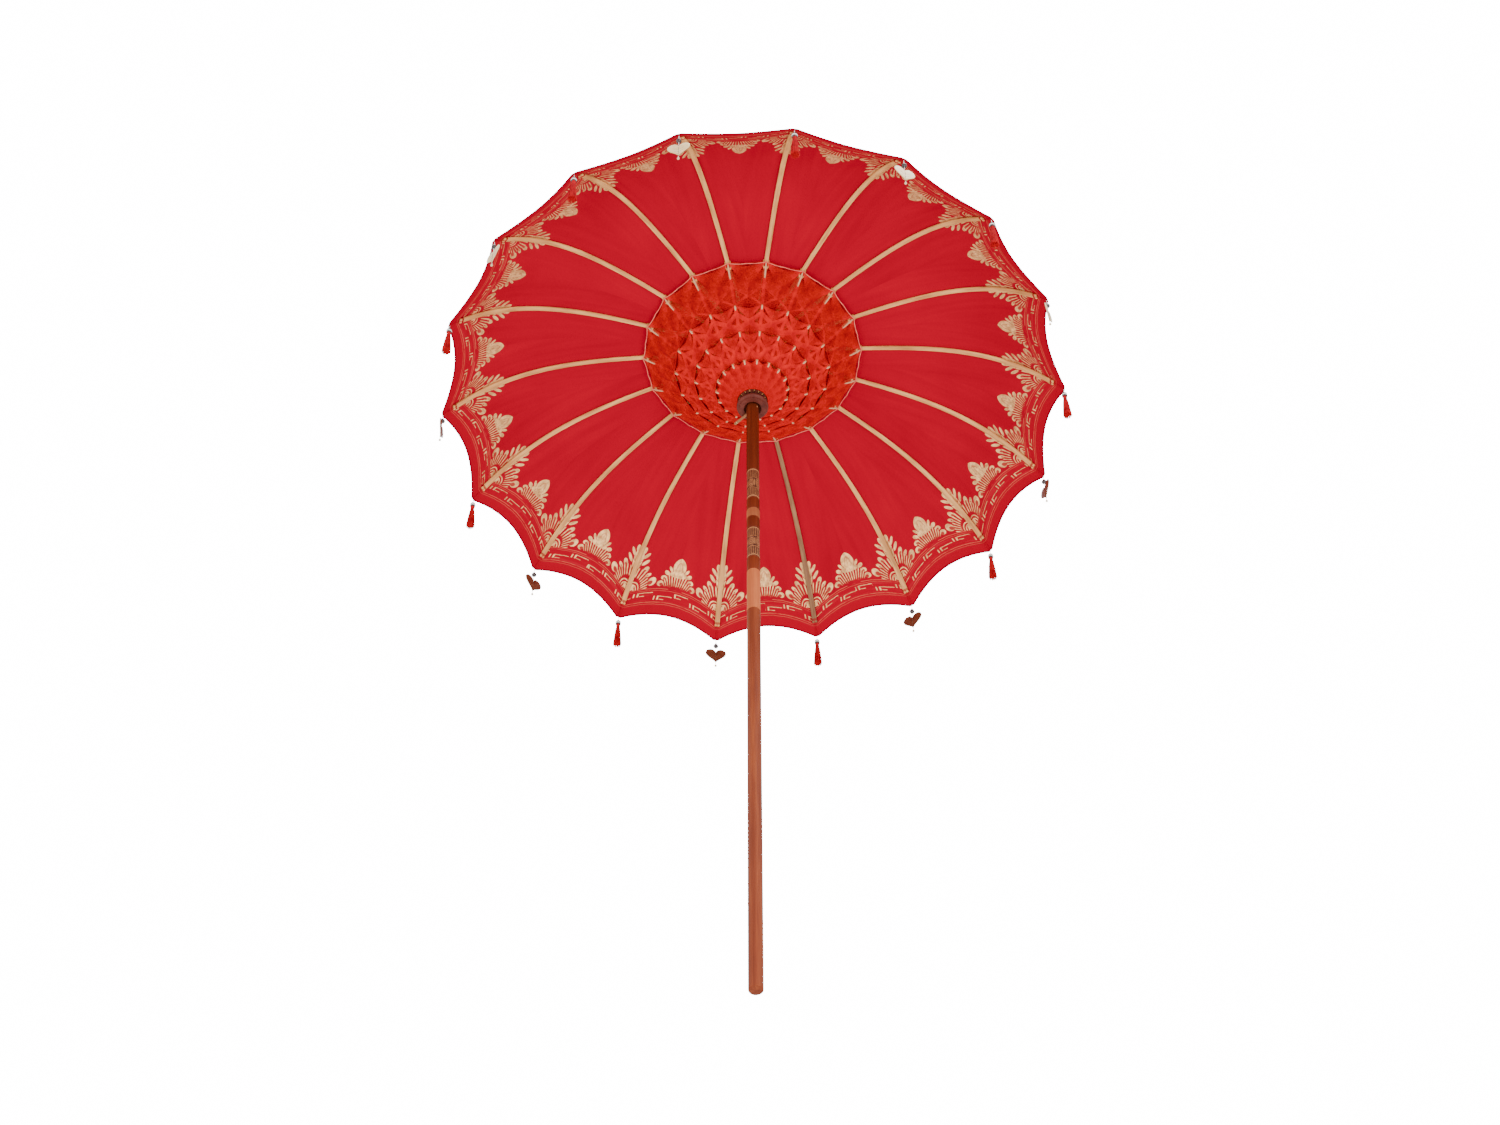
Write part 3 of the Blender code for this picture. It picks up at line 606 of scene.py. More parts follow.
def thread_finish(name, dark, light):
    """Wound cotton thread with a fine twist."""
    make = Finish(name, 0.8)
    make.set(Specular_IOR_Level=0.05)
    place = make.place()
    tone = make.noise(place, 40.0, 3.0)
    twist = make.noise(place, 900.0, 1.0)
    make.colour(make.ramp(tone, (0.3, dark), (0.7, light)))
    return make.bump(twist, 0.0003, 0.4).material


def shell_finish(name, dark, light, vein):
    """A heart's plate: cloudy shell or grained wood with fine cross lines."""
    make = Finish(name, 0.35)
    make.set(Coat_Weight=0.25, Coat_Roughness=0.2)
    place = make.place()
    cloud = make.noise(place, 38.0, 4.0, 0.6, 0.6)
    lines = make.noise(make.stretched(place, (40.0, 260.0, 90.0)), 1.0, 3.0)
    base = make.ramp(cloud * 0.6 + lines * 0.4, (0.32, dark), (0.66, light))
    crack = lines.above(0.62, 0.05)
    make.colour(make.mix(crack * 0.5, base, vein))
    return make.bump(lines, 0.0004, 0.5).material


def plain_finish(name, dark, light, roughness, coat=0.0, metallic=0.0):
    """A small piece's finish, with its colour a little uneven."""
    make = Finish(name, roughness)
    make.set(Coat_Weight=coat, Metallic=metallic)
    tone = make.noise(make.place(), 120.0, 4.0)
    make.colour(make.ramp(tone, (0.3, dark), (0.7, light)))
    return make.bump(tone, 0.0002, 0.5).material


# ---------------------------------------------------------------- mesh tools


def add_object(name, mesh, material, body, matrix=None, smooth=None):
    """Add a piece that rides on a body."""
    mesh.materials.clear()
    mesh.materials.append(material)
    piece = bpy.data.objects.new(name, mesh)
    ROOT.objects.link(piece)
    if matrix is not None:
        piece.matrix_world = matrix
    if smooth is not None:
        mesh.shade_smooth()
        mesh.set_sharp_from_angle(angle=radians(smooth))
    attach(piece, body)
    return piece


def add_part(name, mesh, material, node, matrix=None, smooth=40, body=None):
    """Add a piece that stands for a node of the frame, on the node's body unless one is given."""
    piece = add_object(name, mesh, material, body or node, matrix, smooth)
    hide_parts(node)


def fold_sideways(piece, number):
    """Give a piece a mesh of its own."""
    here = azimuth(number)
    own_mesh(piece)


def mesh_from(name, points, faces, uvs=None):
    """A mesh from points and faces, with UV maps given per point."""
    mesh = bpy.data.meshes.new(name)
    mesh.from_pydata([tuple(point) for point in points], [], faces)
    loops = np.zeros(len(mesh.loops), np.int32)
    mesh.loops.foreach_get("vertex_index", loops)
    for layer, pairs in (uvs or {}).items():
        data = np.asarray(pairs, np.float32)[loops]
        mesh.uv_layers.new(name=layer).data.foreach_set("uv", data.ravel())
    mesh.update()
    return mesh


def faced_outward(mesh):
    """The mesh, with its faces turned outward."""
    work = bmesh.new()
    work.from_mesh(mesh)
    bmesh.ops.recalc_face_normals(work, faces=work.faces)
    work.to_mesh(mesh)
    work.free()
    return mesh


def lathe(name, profile, steps=72):
    """Turn a closed profile round Z; it runs down the outside, and may start and end on the axis."""
    points = []
    rings = []
    for radius, height in profile:
        if radius < 1e-7:
            rings.append([len(points)])
            points.append((0.0, 0.0, height))
            continue
        ring = []
        for step in range(steps):
            angle = 2 * pi * step / steps
            ring.append(len(points))
            points.append((radius * cos(angle), radius * sin(angle), height))
        rings.append(ring)
    pairs = list(zip(rings, rings[1:]))
    if len(rings[0]) > 1 and len(rings[-1]) > 1:
        pairs.append((rings[-1], rings[0]))
    faces = []
    for upper, lower in pairs:
        for step in range(steps):
            after = (step + 1) % steps
            if len(upper) == 1:
                faces.append((upper[0], lower[step], lower[after]))
            elif len(lower) == 1:
                faces.append((upper[step], lower[0], upper[after]))
            else:
                faces.append((upper[step], lower[step], lower[after], upper[after]))
    return mesh_from(name, points, faces)


def rounded(profile, radius, steps=3):
    """Round the inner corners of a profile."""
    done = [profile[0]]
    for before, here, after in zip(profile, profile[1:], profile[2:]):
        first = Vector(before) - Vector(here)
        last = Vector(after) - Vector(here)
        cut = min(radius, first.length * 0.45, last.length * 0.45)
        start = Vector(here) + first.normalized() * cut
        end = Vector(here) + last.normalized() * cut
        for step in range(steps + 1):
            share = step / steps
            point = start.lerp(Vector(here), share).lerp(Vector(here).lerp(end, share), share)
            done.append(tuple(point))
    done.append(profile[-1])
    return done


def teeth_mesh(name, inner, outer, low, high, slot):
    """A ring cut by radial slots, one at each rib."""
    points = []
    faces = []
    for number in range(RIB_COUNT):
        middle = azimuth(number) + HALF_PITCH
        plan = []
        for radius, steps in ((inner, 1), (outer, 4)):
            reach = HALF_PITCH - slot / 2 / radius
            for step in range(steps + 1):
                angle = middle - reach + 2 * reach * step / steps
                plan.append((radius * cos(angle), radius * sin(angle)))
        plan = [plan[1], plan[0]] + plan[2:]
        count = len(plan)
        first = len(points)
        points += [(x, y, low) for x, y in plan] + [(x, y, high) for x, y in plan]
        faces.append(tuple(first + step for step in reversed(range(count))))
        faces.append(tuple(first + count + step for step in range(count)))
        for step in range(count):
            after = (step + 1) % count
            faces.append((first + step, first + after, first + count + after, first + count + step))
    return mesh_from(name, points, faces)


def joined(name, meshes):
    """One mesh with the bodies of several."""
    points = []
    faces = []
    for mesh in meshes:
        first = len(points)
        points += [tuple(vertex.co) for vertex in mesh.vertices]
        faces += [tuple(first + corner for corner in face.vertices) for face in mesh.polygons]
    return mesh_from(name, points, faces)


class Tubes:
    """Many thin tubes gathered in one mesh."""

    def __init__(self, sides=4):
        self.sides = sides
        self.points = []
        self.faces = []

    def add(self, path, radius):
        """Add a capped tube along a path."""
        path = [Vector(point) for point in path]
        direction = (path[-1] - path[0]).normalized()
        guide = Vector((0.0, 0.0, 1.0)) if abs(direction.z) < 0.9 else Vector((1.0, 0.0, 0.0))
        first = len(self.points)
        for place, point in enumerate(path):
            before = path[max(place - 1, 0)]
            after = path[min(place + 1, len(path) - 1)]
            ahead = (after - before).normalized()
            side = ahead.cross(guide).normalized()
            up = side.cross(ahead)
            for step in range(self.sides):
                angle = 2 * pi * step / self.sides
                self.points.append(point + side * (cos(angle) * radius) + up * (sin(angle) * radius))
        for place in range(len(path) - 1):
            low = first + place * self.sides
            for step in range(self.sides):
                after = (step + 1) % self.sides
                self.faces.append((low + step, low + after, low + self.sides + after, low + self.sides + step))
        self.faces.append(tuple(first + step for step in reversed(range(self.sides))))
        last = first + (len(path) - 1) * self.sides
        self.faces.append(tuple(last + step for step in range(self.sides)))

    def mesh(self, name):
        """The gathered mesh."""
        return mesh_from(name, self.points, self.faces)


# ---------------------------------------------------------------- canopy


def cloth_point(side, share, station, offset):
    """A point of the cloth on one side of a rib.

    share is 0 over the rib and 1 in the middle of the gore; station runs from 0 to 1 at the hem.
    """
    gore_share = share / 2
    inset = HEM_SCALLOP * 4 * gore_share * (1 - gore_share)
    radius = station * TIP_RADIUS * (1 - inset * station)
    slope = profile_slope(radius)
    reach = radius - offset * sin(slope)
    height = profile_height(radius) + offset * cos(slope)
    flat = min(CLOTH_FLAT, reach * sin(HALF_PITCH) * 0.3)
    middle = reach * cos(HALF_PITCH)
    half_width = reach * sin(HALF_PITCH)
    along = flat + (half_width - flat) * share
    if share == 0.0:
        along = 0.0
    blend = max(0.0, (along - flat) / (half_width - flat))
    at_rib = Vector((reach, along * side))
    edge = Vector((reach, flat * side))
    centre = Vector((middle * cos(HALF_PITCH), middle * sin(HALF_PITCH) * side))
    spot = at_rib if along <= flat else edge.lerp(centre, blend)
    hem_arc = arc_length(TIP_RADIUS * (1 - inset))
    up = hem_arc - arc_length(radius)
    return Vector((spot.x, spot.y, height)), along, half_width - along, up


def wedge_mesh(number, band):
    """The cloth round one rib, out to the middle of each gore, between two stations."""
    shares = [0.0, 0.0001] + [column / HALF_COLUMNS for column in range(1, HALF_COLUMNS + 1)]
    columns = [(-1, share) for share in reversed(shares[1:])] + [(1, share) for share in shares]
    inner, outer = BANDS[band], BANDS[band + 1]
    stations = [inner + (outer - inner) * row / BAND_ROWS for row in range(BAND_ROWS + 1)]
    if band == len(BANDS) - 2:
        stations = stations[:-1] + [1 - HEM_WIDTH * 1.02, 1 - HEM_WIDTH * 0.9, 1.0]
    points = []
    gore = []
    rib = []
    weave = []
    for layer in (0, 1):
        for station in stations:
            in_hem = band == len(BANDS) - 2 and station > 1 - HEM_WIDTH
            thick = HEM_THICKNESS if in_hem else CLOTH_THICKNESS
            offset = CLOTH_RISE + thick * (layer - 0.5)
            for side, share in columns:
                point, from_rib, from_centre, up = cloth_point(side, share, station, offset)
                points.append(point)
                gore.append((from_centre, up))
                rib.append((from_rib, up))
                weave.append((number * 0.7 + from_rib * side, up))
    width = len(columns)
    rows = len(stations)
    size = width * rows
    faces = []
    for row in range(rows - 1):
        for column in range(width - 1):
            low = row * width + column
            quad = (low, low + width, low + width + 1, low + 1)
            faces.append(tuple(reversed(quad)))
            faces.append(tuple(corner + size for corner in quad))
    edge = [column for column in range(width)]
    edge += [row * width + width - 1 for row in range(1, rows)]
    edge += [(rows - 1) * width + column for column in range(width - 2, -1, -1)]
    edge += [row * width for row in range(rows - 2, 0, -1)]
    rims = []
    for first, second in zip(edge, edge[1:] + edge[:1]):
        rims.append((first, second, second + size, first + size))
    mesh = mesh_from("cloth", points, faces + rims, {"gore": gore, "rib": rib, "weave": weave})
    smooth = np.ones(len(mesh.polygons), bool)
    smooth[len(faces):] = False
    mesh.polygons.foreach_set("use_smooth", smooth)
    shade_like_whole_cloth(mesh, columns, stations, size, len(faces))
    return mesh


def shade_like_whole_cloth(mesh, columns, stations, size, cloth_faces):
    """Give both layers the whole canopy's normals, so that no seam shows between pieces."""
    step = 0.004
    upward = []
    for station in stations:
        for side, share in columns:
            here, _, _, _ = cloth_point(side, share, station, CLOTH_RISE)
            back, _, _, _ = cloth_point(side, share, station - step, CLOTH_RISE)
            near = share - 0.02 if share > 0.5 else share + 0.02
            beside, _, _, _ = cloth_point(side, near, station, CLOTH_RISE)
            normal = (here - back).cross(beside - here).normalized()
            if normal.z < 0:
                normal = -normal
            if share == 0.0:
                normal = Vector((normal.x, 0.0, normal.z)).normalized()
            upward.append(normal)
    normals = []
    for polygon in mesh.polygons:
        for corner in polygon.vertices:
            if polygon.index >= cloth_faces:
                normals.append(polygon.normal)
            elif corner >= size:
                normals.append(upward[corner - size])
            else:
                normals.append(-upward[corner])
    mesh.normals_split_custom_set([tuple(normal) for normal in normals])


def make_canopy(cotton):
    """The cotton, as one wedge on each rib, cut in bands."""
    for number in range(RIB_COUNT):
        for band in range(len(BANDS) - 1):
            mesh = wedge_mesh(number, band)
            name = f"canopy_{number + 1:02d}_{band + 1}"
            piece = add_object(name, mesh, cotton, f"rib_{number + 1:02d}", turn(number))
            radius = max(BANDS[band] * TIP_RADIUS, HINGE_RADIUS)
            keep = min(1.0, folded_radius(radius) / radius)
            fold_sideways(piece, number)
            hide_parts("canopy")
            inner, outer = BANDS[band], BANDS[band + 1]
            length = arc_length(outer * TIP_RADIUS) - arc_length(inner * TIP_RADIUS)
            wide = 2 * outer * TIP_RADIUS * sin(HALF_PITCH)
            area = (inner + outer) / 2 * TIP_RADIUS * 2 * sin(HALF_PITCH) * length


# ---------------------------------------------------------------- ribs and stretchers


def rounded_section(width, height, bulge=0.35):
    """Twelve points round a slat's section, as sideways and upward offsets."""
    corner = min(width, height) * bulge
    section = []
    for side, up in ((1, -1), (1, 1), (-1, 1), (-1, -1)):
        centre = (side * (width / 2 - corner), up * (height / 2 - corner))
        start = {(1, -1): -90, (1, 1): 0, (-1, 1): 90, (-1, -1): 180}[(side, up)]
        for step in range(3):
            angle = radians(start + 45 * step)
            section.append((centre[0] + corner * cos(angle), centre[1] + corner * sin(angle)))
    return section


def sweep(name, stations, seed):
    """Loft rounded sections: each is X, Z, width, height and slope."""
    points = []
    grain = []
    length = 0.0
    before = None
    for middle_x, middle_z, width, height, slope in stations:
        if before is not None:
            length += hypot(middle_x - before[0], middle_z - before[1])
        before = (middle_x, middle_z)
        for place, (side, up) in enumerate(rounded_section(width, height)):
            points.append((middle_x - up * sin(slope), side, middle_z + up * cos(slope)))
            grain.append((length + seed, (side + up) + seed))
    ring = 12
    faces = []
    for row in range(len(stations) - 1):
        for step in range(ring):
            after = (step + 1) % ring
            low = row * ring
            faces.append((low + step, low + after, low + ring + after, low + ring + step))
    faces.append(tuple(reversed(range(ring))))
    last = (len(stations) - 1) * ring
    faces.append(tuple(last + step for step in range(ring)))
    return faced_outward(mesh_from(name, points, faces, {"grain": grain}))


def rib_stations(random):
    """A rib's sections, with a swelling at each of its bamboo joints."""
    joints = [place + random.uniform(-play, play) if play else place for place, play in RIB_JOINTS]
    stations = []
    start = HINGE_RADIUS - RIB_OVERRUN
    end = RIB_WOOD_END * TIP_RADIUS
    for step in range(RIB_STEPS + 1):
        radius = start + (end - start) * step / RIB_STEPS
        share = max(0.0, (radius - RIB_TAPER_START) / (end - RIB_TAPER_START))
        width = RIB_INNER_WIDTH + (RIB_OUTER_WIDTH - RIB_INNER_WIDTH) * share
        height = 2 * RIB_HALF_HEIGHT * (1 - RIB_THINNING * share)
        narrow = min(1.0, max(0.0, (radius - RIB_BLADE_END) / RIB_SHOULDER))
        width = BLADE_WIDTH + (width - BLADE_WIDTH) * narrow
        for joint in joints:
            near = max(0.0, 1 - abs(radius / TIP_RADIUS - joint) / RIB_JOINT_REACH)
            width += RIB_JOINT_WIDENING * near
            height += RIB_JOINT_THICKENING * near
        stations.append((radius, profile_height(radius), width, height, profile_slope(radius)))
    radius, _, width, height, slope = stations[-1]
    radius += RIB_BEVEL
    stations.append((radius, profile_height(radius), width * 0.72, height * 0.6, slope))
    return stations


def make_ribs(bamboo, shaded_bamboo, red, brass):
    """Bamboo ribs, each with its cross pin, its crown blade and the lashing at the hem corner."""
    random = Random(4)
    pin = [(PIVOT_RADIUS, side * PIN_HALF_LENGTH, PIVOT_HEIGHT) for side in (-1, 1)]
    for number in range(RIB_COUNT):
        name = f"rib_{number + 1:02d}"
        mesh = sweep(name, rib_stations(random), 3.1 * number)
        # painted shade: the one rib in the pole's shadow takes the darker copy of the bamboo
        skin = shaded_bamboo if number == SHADED_RIB else bamboo
        add_part(f"{name}_bamboo", mesh, skin, name, turn(number))
        tubes = Tubes(8)
        tubes.add(pin, PIN_RADIUS)
        add_part(f"{name}_pin", tubes.mesh("pin"), brass, name, turn(number))
        tie = Tubes(6)
        end = RIB_WOOD_END * TIP_RADIUS
        for wrap in range(LASHING_TURNS):
            radius = end - 0.004 - 0.0016 * wrap
            slope = profile_slope(radius)
            height = profile_height(radius)
            loop = []
            for side, up in rounded_section(*LASHING_SECTION):
                loop.append((radius - up * sin(slope), side, height + up * cos(slope)))
            tie.add(loop + loop[:1], 0.0007)
        tie.add([
            (end - 0.006, 0.0, profile_height(end - 0.006) - 0.0045),
            (end + 0.01, 0.0, profile_height(end + 0.01) - 0.001),
            (TIP_RADIUS, 0.0, TIP_HEIGHT),
        ], 0.0009)
        add_part(f"{name}_lashing", tie.mesh("lashing"), red, name, turn(number), 60)


def stretcher_point(radius):
    """Height of the stretcher's centre line at a radius."""
    share = (radius - RUNNER_PIVOT[0]) / (PIVOT_RADIUS - RUNNER_PIVOT[0])
    return RUNNER_PIVOT[1] + share * (PIVOT_HEIGHT - RUNNER_PIVOT[1])


STRETCHER_ANGLE = atan2(PIVOT_HEIGHT - RUNNER_PIVOT[1], PIVOT_RADIUS - RUNNER_PIVOT[0])
STRETCHER_LENGTH = hypot(PIVOT_HEIGHT - RUNNER_PIVOT[1], PIVOT_RADIUS - RUNNER_PIVOT[0])


def along_stretcher(start, reach):
    """The radius and height at a distance along the stretcher from a point of its centre line."""
    return start[0] + reach * cos(STRETCHER_ANGLE), start[1] + reach * sin(STRETCHER_ANGLE)


def winding(inner, outer):
    """Thread wound tightly along one level of a stretcher."""
    last = outer - (BARE_END if outer == PIVOT_RADIUS else NUB_LENGTH)
    over_blade, over_bar, height = WINDING_SIZE
    count = int((last - inner) / WINDING_PITCH)
    stations = []
    for step in range(count + 1):
        radius = inner + (last - inner) * step / count
        swell = WINDING_SWELL * (step % 2)
        wide = over_bar if radius > RUNNER_PIVOT[0] + BLADE_LENGTH else over_blade
        stations.append((radius, stretcher_point(radius), wide + swell, height + swell, STRETCHER_ANGLE))
    return sweep("sleeve", stations, 0.0)


def nub(ring, seed):
    """The bare wood under a stretcher at one ring of the web; the outermost runs farther in."""
    outermost = ring == PIVOT_RADIUS
    length = OUTER_NUB_LENGTH if outermost else NUB_LENGTH
    width, height = NUB_SIZE
    stations = []
    for share, size in NUB_SHAPE:
        radius = ring - 0.001 - length + length * (share ** 0.8 if outermost else share)
        drop = stretcher_point(radius) - NUB_DROP
        stations.append((radius, drop, width * size, height * size, STRETCHER_ANGLE))
    return sweep("nub", stations, seed)


def make_stretchers(bamboo, pale, red):
    """Stretchers, each a bar with two ears round its rib, its wound thread and its nubs."""
    bar = []
    for reach, width, height in (
        (-0.004, BLADE_WIDTH, 0.005), (0.0, BLADE_WIDTH, 0.008), (0.035, BLADE_WIDTH, BAR_HEIGHT),
        (BLADE_LENGTH, BAR_WIDTH, BAR_HEIGHT), (STRETCHER_LENGTH - 0.03, BAR_WIDTH, BAR_HEIGHT),
        (STRETCHER_LENGTH - 0.0175, FORK_WIDTH, BAR_HEIGHT),
    ):
        bar.append((*along_stretcher(RUNNER_PIVOT, reach), width, height, STRETCHER_ANGLE))
    ear = []
    for reach, height in EAR_SECTIONS:
        place = along_stretcher((PIVOT_RADIUS, PIVOT_HEIGHT), reach)
        ear.append((*place, EAR_WIDTH, height, STRETCHER_ANGLE))
    for number in range(RIB_COUNT):
        name = f"stretcher_{number + 1:02d}"
        mesh = sweep(name, bar, 2.3 * number)
        add_part(f"{name}_bar", mesh, bamboo, name, turn(number))
        for side in (-1, 1):
            mesh = sweep("ear", ear, 1.0)
            mesh.transform(Matrix.Translation((0.0, side * EAR_OFFSET, 0.0)))
            add_part(f"{name}_ear_{'lr'[side > 0]}", mesh, bamboo, name, turn(number))
        mesh = joined("wound", [winding(*level) for level in zip(WEB_LEVELS, WEB_LEVELS[1:])])
        add_part(f"{name}_wound", mesh, red, name, turn(number), 60)
        mesh = joined("nubs", [nub(ring, 0.7 * number + ring * 9) for ring in WEB_LEVELS[1:]])
        add_part(f"{name}_nubs", mesh, pale, name, turn(number))


# ---------------------------------------------------------------- thread web


def web_half(tubes, inner, outer, side, rise, radius):
    """Half of one thread: from the stretcher at one radius to the middle plane of the gap."""
    start = Vector((inner, 0.0, stretcher_point(inner) + rise))
    across = Vector((outer * cos(PITCH), outer * sin(PITCH) * side, stretcher_point(outer) + rise))
    normal = Vector((sin(HALF_PITCH), -cos(HALF_PITCH) * side, 0.0))
    reach = across - start
    share = -start.dot(normal) / reach.dot(normal)
    tubes.add([start, start + reach * share], radius)


def web_lines(level, inner, outer):
    """A level's threads: the radius on one stretcher and on the next, the rise and the thickness."""
    deep = outer - inner
    lines = []
    for step in range(FAN_THREADS[level]):
        share = step / (FAN_THREADS[level] - 1)
        lines.append((outer - 0.001, inner + 0.002 + (deep - 0.018) * share, -0.0064, 0.00075))
    for step in range(INNER_FAN_THREADS):
        share = step / (INNER_FAN_THREADS - 1)
        lines.append((inner + 0.001, inner + 0.004 + (deep * 0.6) * share, -0.007, 0.0007))
    slant = deep * NET_SLANTS[level]
    for step in range(NET_THREADS[level]):
        here = inner + 0.002 + (deep - 0.016 - slant) * step / (NET_THREADS[level] - 1)
        lines.append((here + slant, here, -0.0084, NET_THICKNESS[level]))
    for step in range(UPPER_THREADS):
        share = step / (UPPER_THREADS - 1)
        lines.append((outer - 0.002, inner + deep * share, 0.0066, 0.0007))
        if level < 3:
            lines.append((inner + 0.002, inner + deep * 0.7 * share, 0.007, 0.00085))
    return lines


def collar_threads(tubes, outer, random):
    """Threads laid side by side from the runner's rim to the first ring."""
    for step in range(-COLLAR_THREADS, COLLAR_THREADS + 1):
        angle = HALF_PITCH * step / COLLAR_THREADS
        path = []
        for radius, drop in ((0.044, 0.004), (0.047, 0.0105), (0.078, 0.0092), (outer - NUB_LENGTH, 0.008)):
            radius *= 1 + random.uniform(-0.004, 0.004)
            path.append((radius * cos(angle), radius * sin(angle), stretcher_point(radius) - drop))
        tubes.add(path, COLLAR_THICKNESS)


def make_web(red):
    """Threads wound between the stretchers in levels, in fans and nets that cross each other."""
    random = Random(11)
    for level, (inner, outer) in enumerate(zip(WEB_LEVELS, WEB_LEVELS[1:])):
        tubes = Tubes(4)
        for here, there, rise, thick in web_lines(level, inner, outer):
            jitter = random.uniform(-WEB_JITTER, WEB_JITTER)
            for side in (-1, 1):
                web_half(tubes, here, there, side, rise + jitter, thick)
                web_half(tubes, there, here, side, rise + jitter * 0.5, thick)
        if level == 0:
            collar_threads(tubes, outer, random)
        mesh = tubes.mesh(f"web_{level + 1}")
        keep = min(1.0, *(folded_stretcher_radius(radius) / radius for radius in (inner, outer)))
        for number in range(RIB_COUNT):
            name = f"web_{number + 1:02d}_{level + 1}"
            piece = add_object(name, mesh, red, f"stretcher_{number + 1:02d}", turn(number))
            fold_sideways(piece, number)


def make_ring_cords(red, edge_cord):
    """A cord from stretcher to stretcher at each ring, pale at the web's outer edge."""
    for level, ring in enumerate(WEB_LEVELS[1:]):
        outermost = ring == PIVOT_RADIUS
        rope = Tubes(6)
        corner = Vector((ring + 0.003, 0.0, stretcher_point(ring) - CORD_DROP))
        middle = corner.x * cos(HALF_PITCH) - 0.004 * ring
        for side in (-1, 1):
            end = Vector((middle * cos(HALF_PITCH), middle * sin(HALF_PITCH) * side, corner.z - CORD_SAG))
            path = []
            for step in range(CORD_STEPS + 1):
                share = step / CORD_STEPS
                bow = -0.03 * ring * share * (1 - share)
                path.append(corner.lerp(end, share) + Vector((bow, 0.0, 0.0)))
            rope.add(path, 0.0015 if outermost else 0.0008)
        mesh = rope.mesh("edge_cord")
        keep = min(1.0, folded_stretcher_radius(ring) / ring)
        for number in range(RIB_COUNT):
            name = f"edge_cord_{number + 1:02d}_{level + 1}"
            thread = edge_cord if outermost else red
            piece = add_object(name, mesh, thread, f"stretcher_{number + 1:02d}", turn(number), 60)
            fold_sideways(piece, number)


# ---------------------------------------------------------------- pole, crown, runner and peg


def make_poles(lower_wood, upper_wood, bare_wood, ring_wood, neck_wood, carved):
    """The two halves of the pole; the upper one is turned in zones, two of them carved."""
    low_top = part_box("pole_lower")[1].z
    high_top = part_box("pole_upper")[1].z
    split = POLE_SPLIT - 0.0003
    profile = rounded([
        (0.0, low_top), (TENON_RADIUS, low_top), (TENON_RADIUS, split),
        (POLE_RADIUS, split), (POLE_RADIUS, 0.0), (0.0, 0.0),
    ], 0.003)
    mesh = lathe("pole_lower", profile, 64)
    add_part("pole_lower_rod", mesh, lower_wood, "pole_lower")
    shoulder = high_top - TOP_TENON_LENGTH
    socket = POLE_SPLIT + SOCKET_DEPTH
    bottom = [
        (0.0, BARE_TOP), (POLE_RADIUS, BARE_TOP), (POLE_RADIUS, POLE_SPLIT),
        (SOCKET_RADIUS, POLE_SPLIT), (SOCKET_RADIUS, socket), (0.0, socket),
    ]
    top = [
        (0.0, high_top), (TOP_TENON_RADIUS, high_top), (TOP_TENON_RADIUS, shoulder),
        (POLE_RADIUS, shoulder), (POLE_RADIUS, CARVED_BANDS[0][1]), (0.0, CARVED_BANDS[0][1]),
    ]
    zones = [("sleeve", bottom, bare_wood), ("top", top, upper_wood)]
    for name, low, high, wood, depth in (
        ("carving_1", *CARVED_BANDS[0], carved[0], CARVING_DEPTH),
        ("neck_1", RING_BAND[1], CARVED_BANDS[0][0], upper_wood, 0.0),
        ("ring", *RING_BAND, ring_wood, -RING_SWELL),
        ("neck_2", CARVED_BANDS[1][1], RING_BAND[0], upper_wood, 0.0),
        ("carving_2", *CARVED_BANDS[1], carved[1], CARVING_DEPTH),
        ("neck_3", BARE_TOP, CARVED_BANDS[1][0], neck_wood, 0.0),
    ):
        radius = POLE_RADIUS - depth
        edge = radius - ZONE_GROOVE
        zones.append((name, [
            (0.0, high), (edge, high), (radius, high - ZONE_BEVEL),
            (radius, low + ZONE_BEVEL), (edge, low), (0.0, low),
        ], wood))
    for name, points, wood in zones:
        mesh = lathe(f"pole_upper_{name}", rounded(points, 0.0006), 64)
        add_part(f"pole_upper_{name}", mesh, wood, "pole_upper")


def make_crown(wood, brass):
    """The turned cap and finial, the slotted hub under them and its ring of wire."""
    points = [(radius, TOP - depth) for radius, depth in CROWN_PROFILE]
    points += [
        (HUB_RADIUS, CAP_BOTTOM), (HUB_RADIUS, HUB_BOTTOM), (HUB_BORE, HUB_BOTTOM),
        (HUB_BORE, HUB_BORE_TOP), (0.0, HUB_BORE_TOP),
    ]
    mesh = lathe("crown_turned", rounded(points, 0.002, 4), 72)
    add_part("crown_turned", mesh, wood, "crown", None, 35, "pole_upper")
    mesh = teeth_mesh("crown_teeth", 0.024, 0.045, HUB_BOTTOM, CAP_BOTTOM, SLOT_WIDTH)
    add_part("crown_teeth", mesh, wood, "crown", None, 35, "pole_upper")
    loop = []
    for step in range(2 * RIB_COUNT + 1):
        angle = FIRST_AZIMUTH + HALF_PITCH * step
        loop.append((HINGE_RADIUS * cos(angle), HINGE_RADIUS * sin(angle), HINGE_HEIGHT))
    wire = Tubes(8)
    wire.add(loop, WIRE_RADIUS)
    add_part("crown_wire", wire.mesh("crown_wire"), brass, "crown", None, 60, "pole_upper")


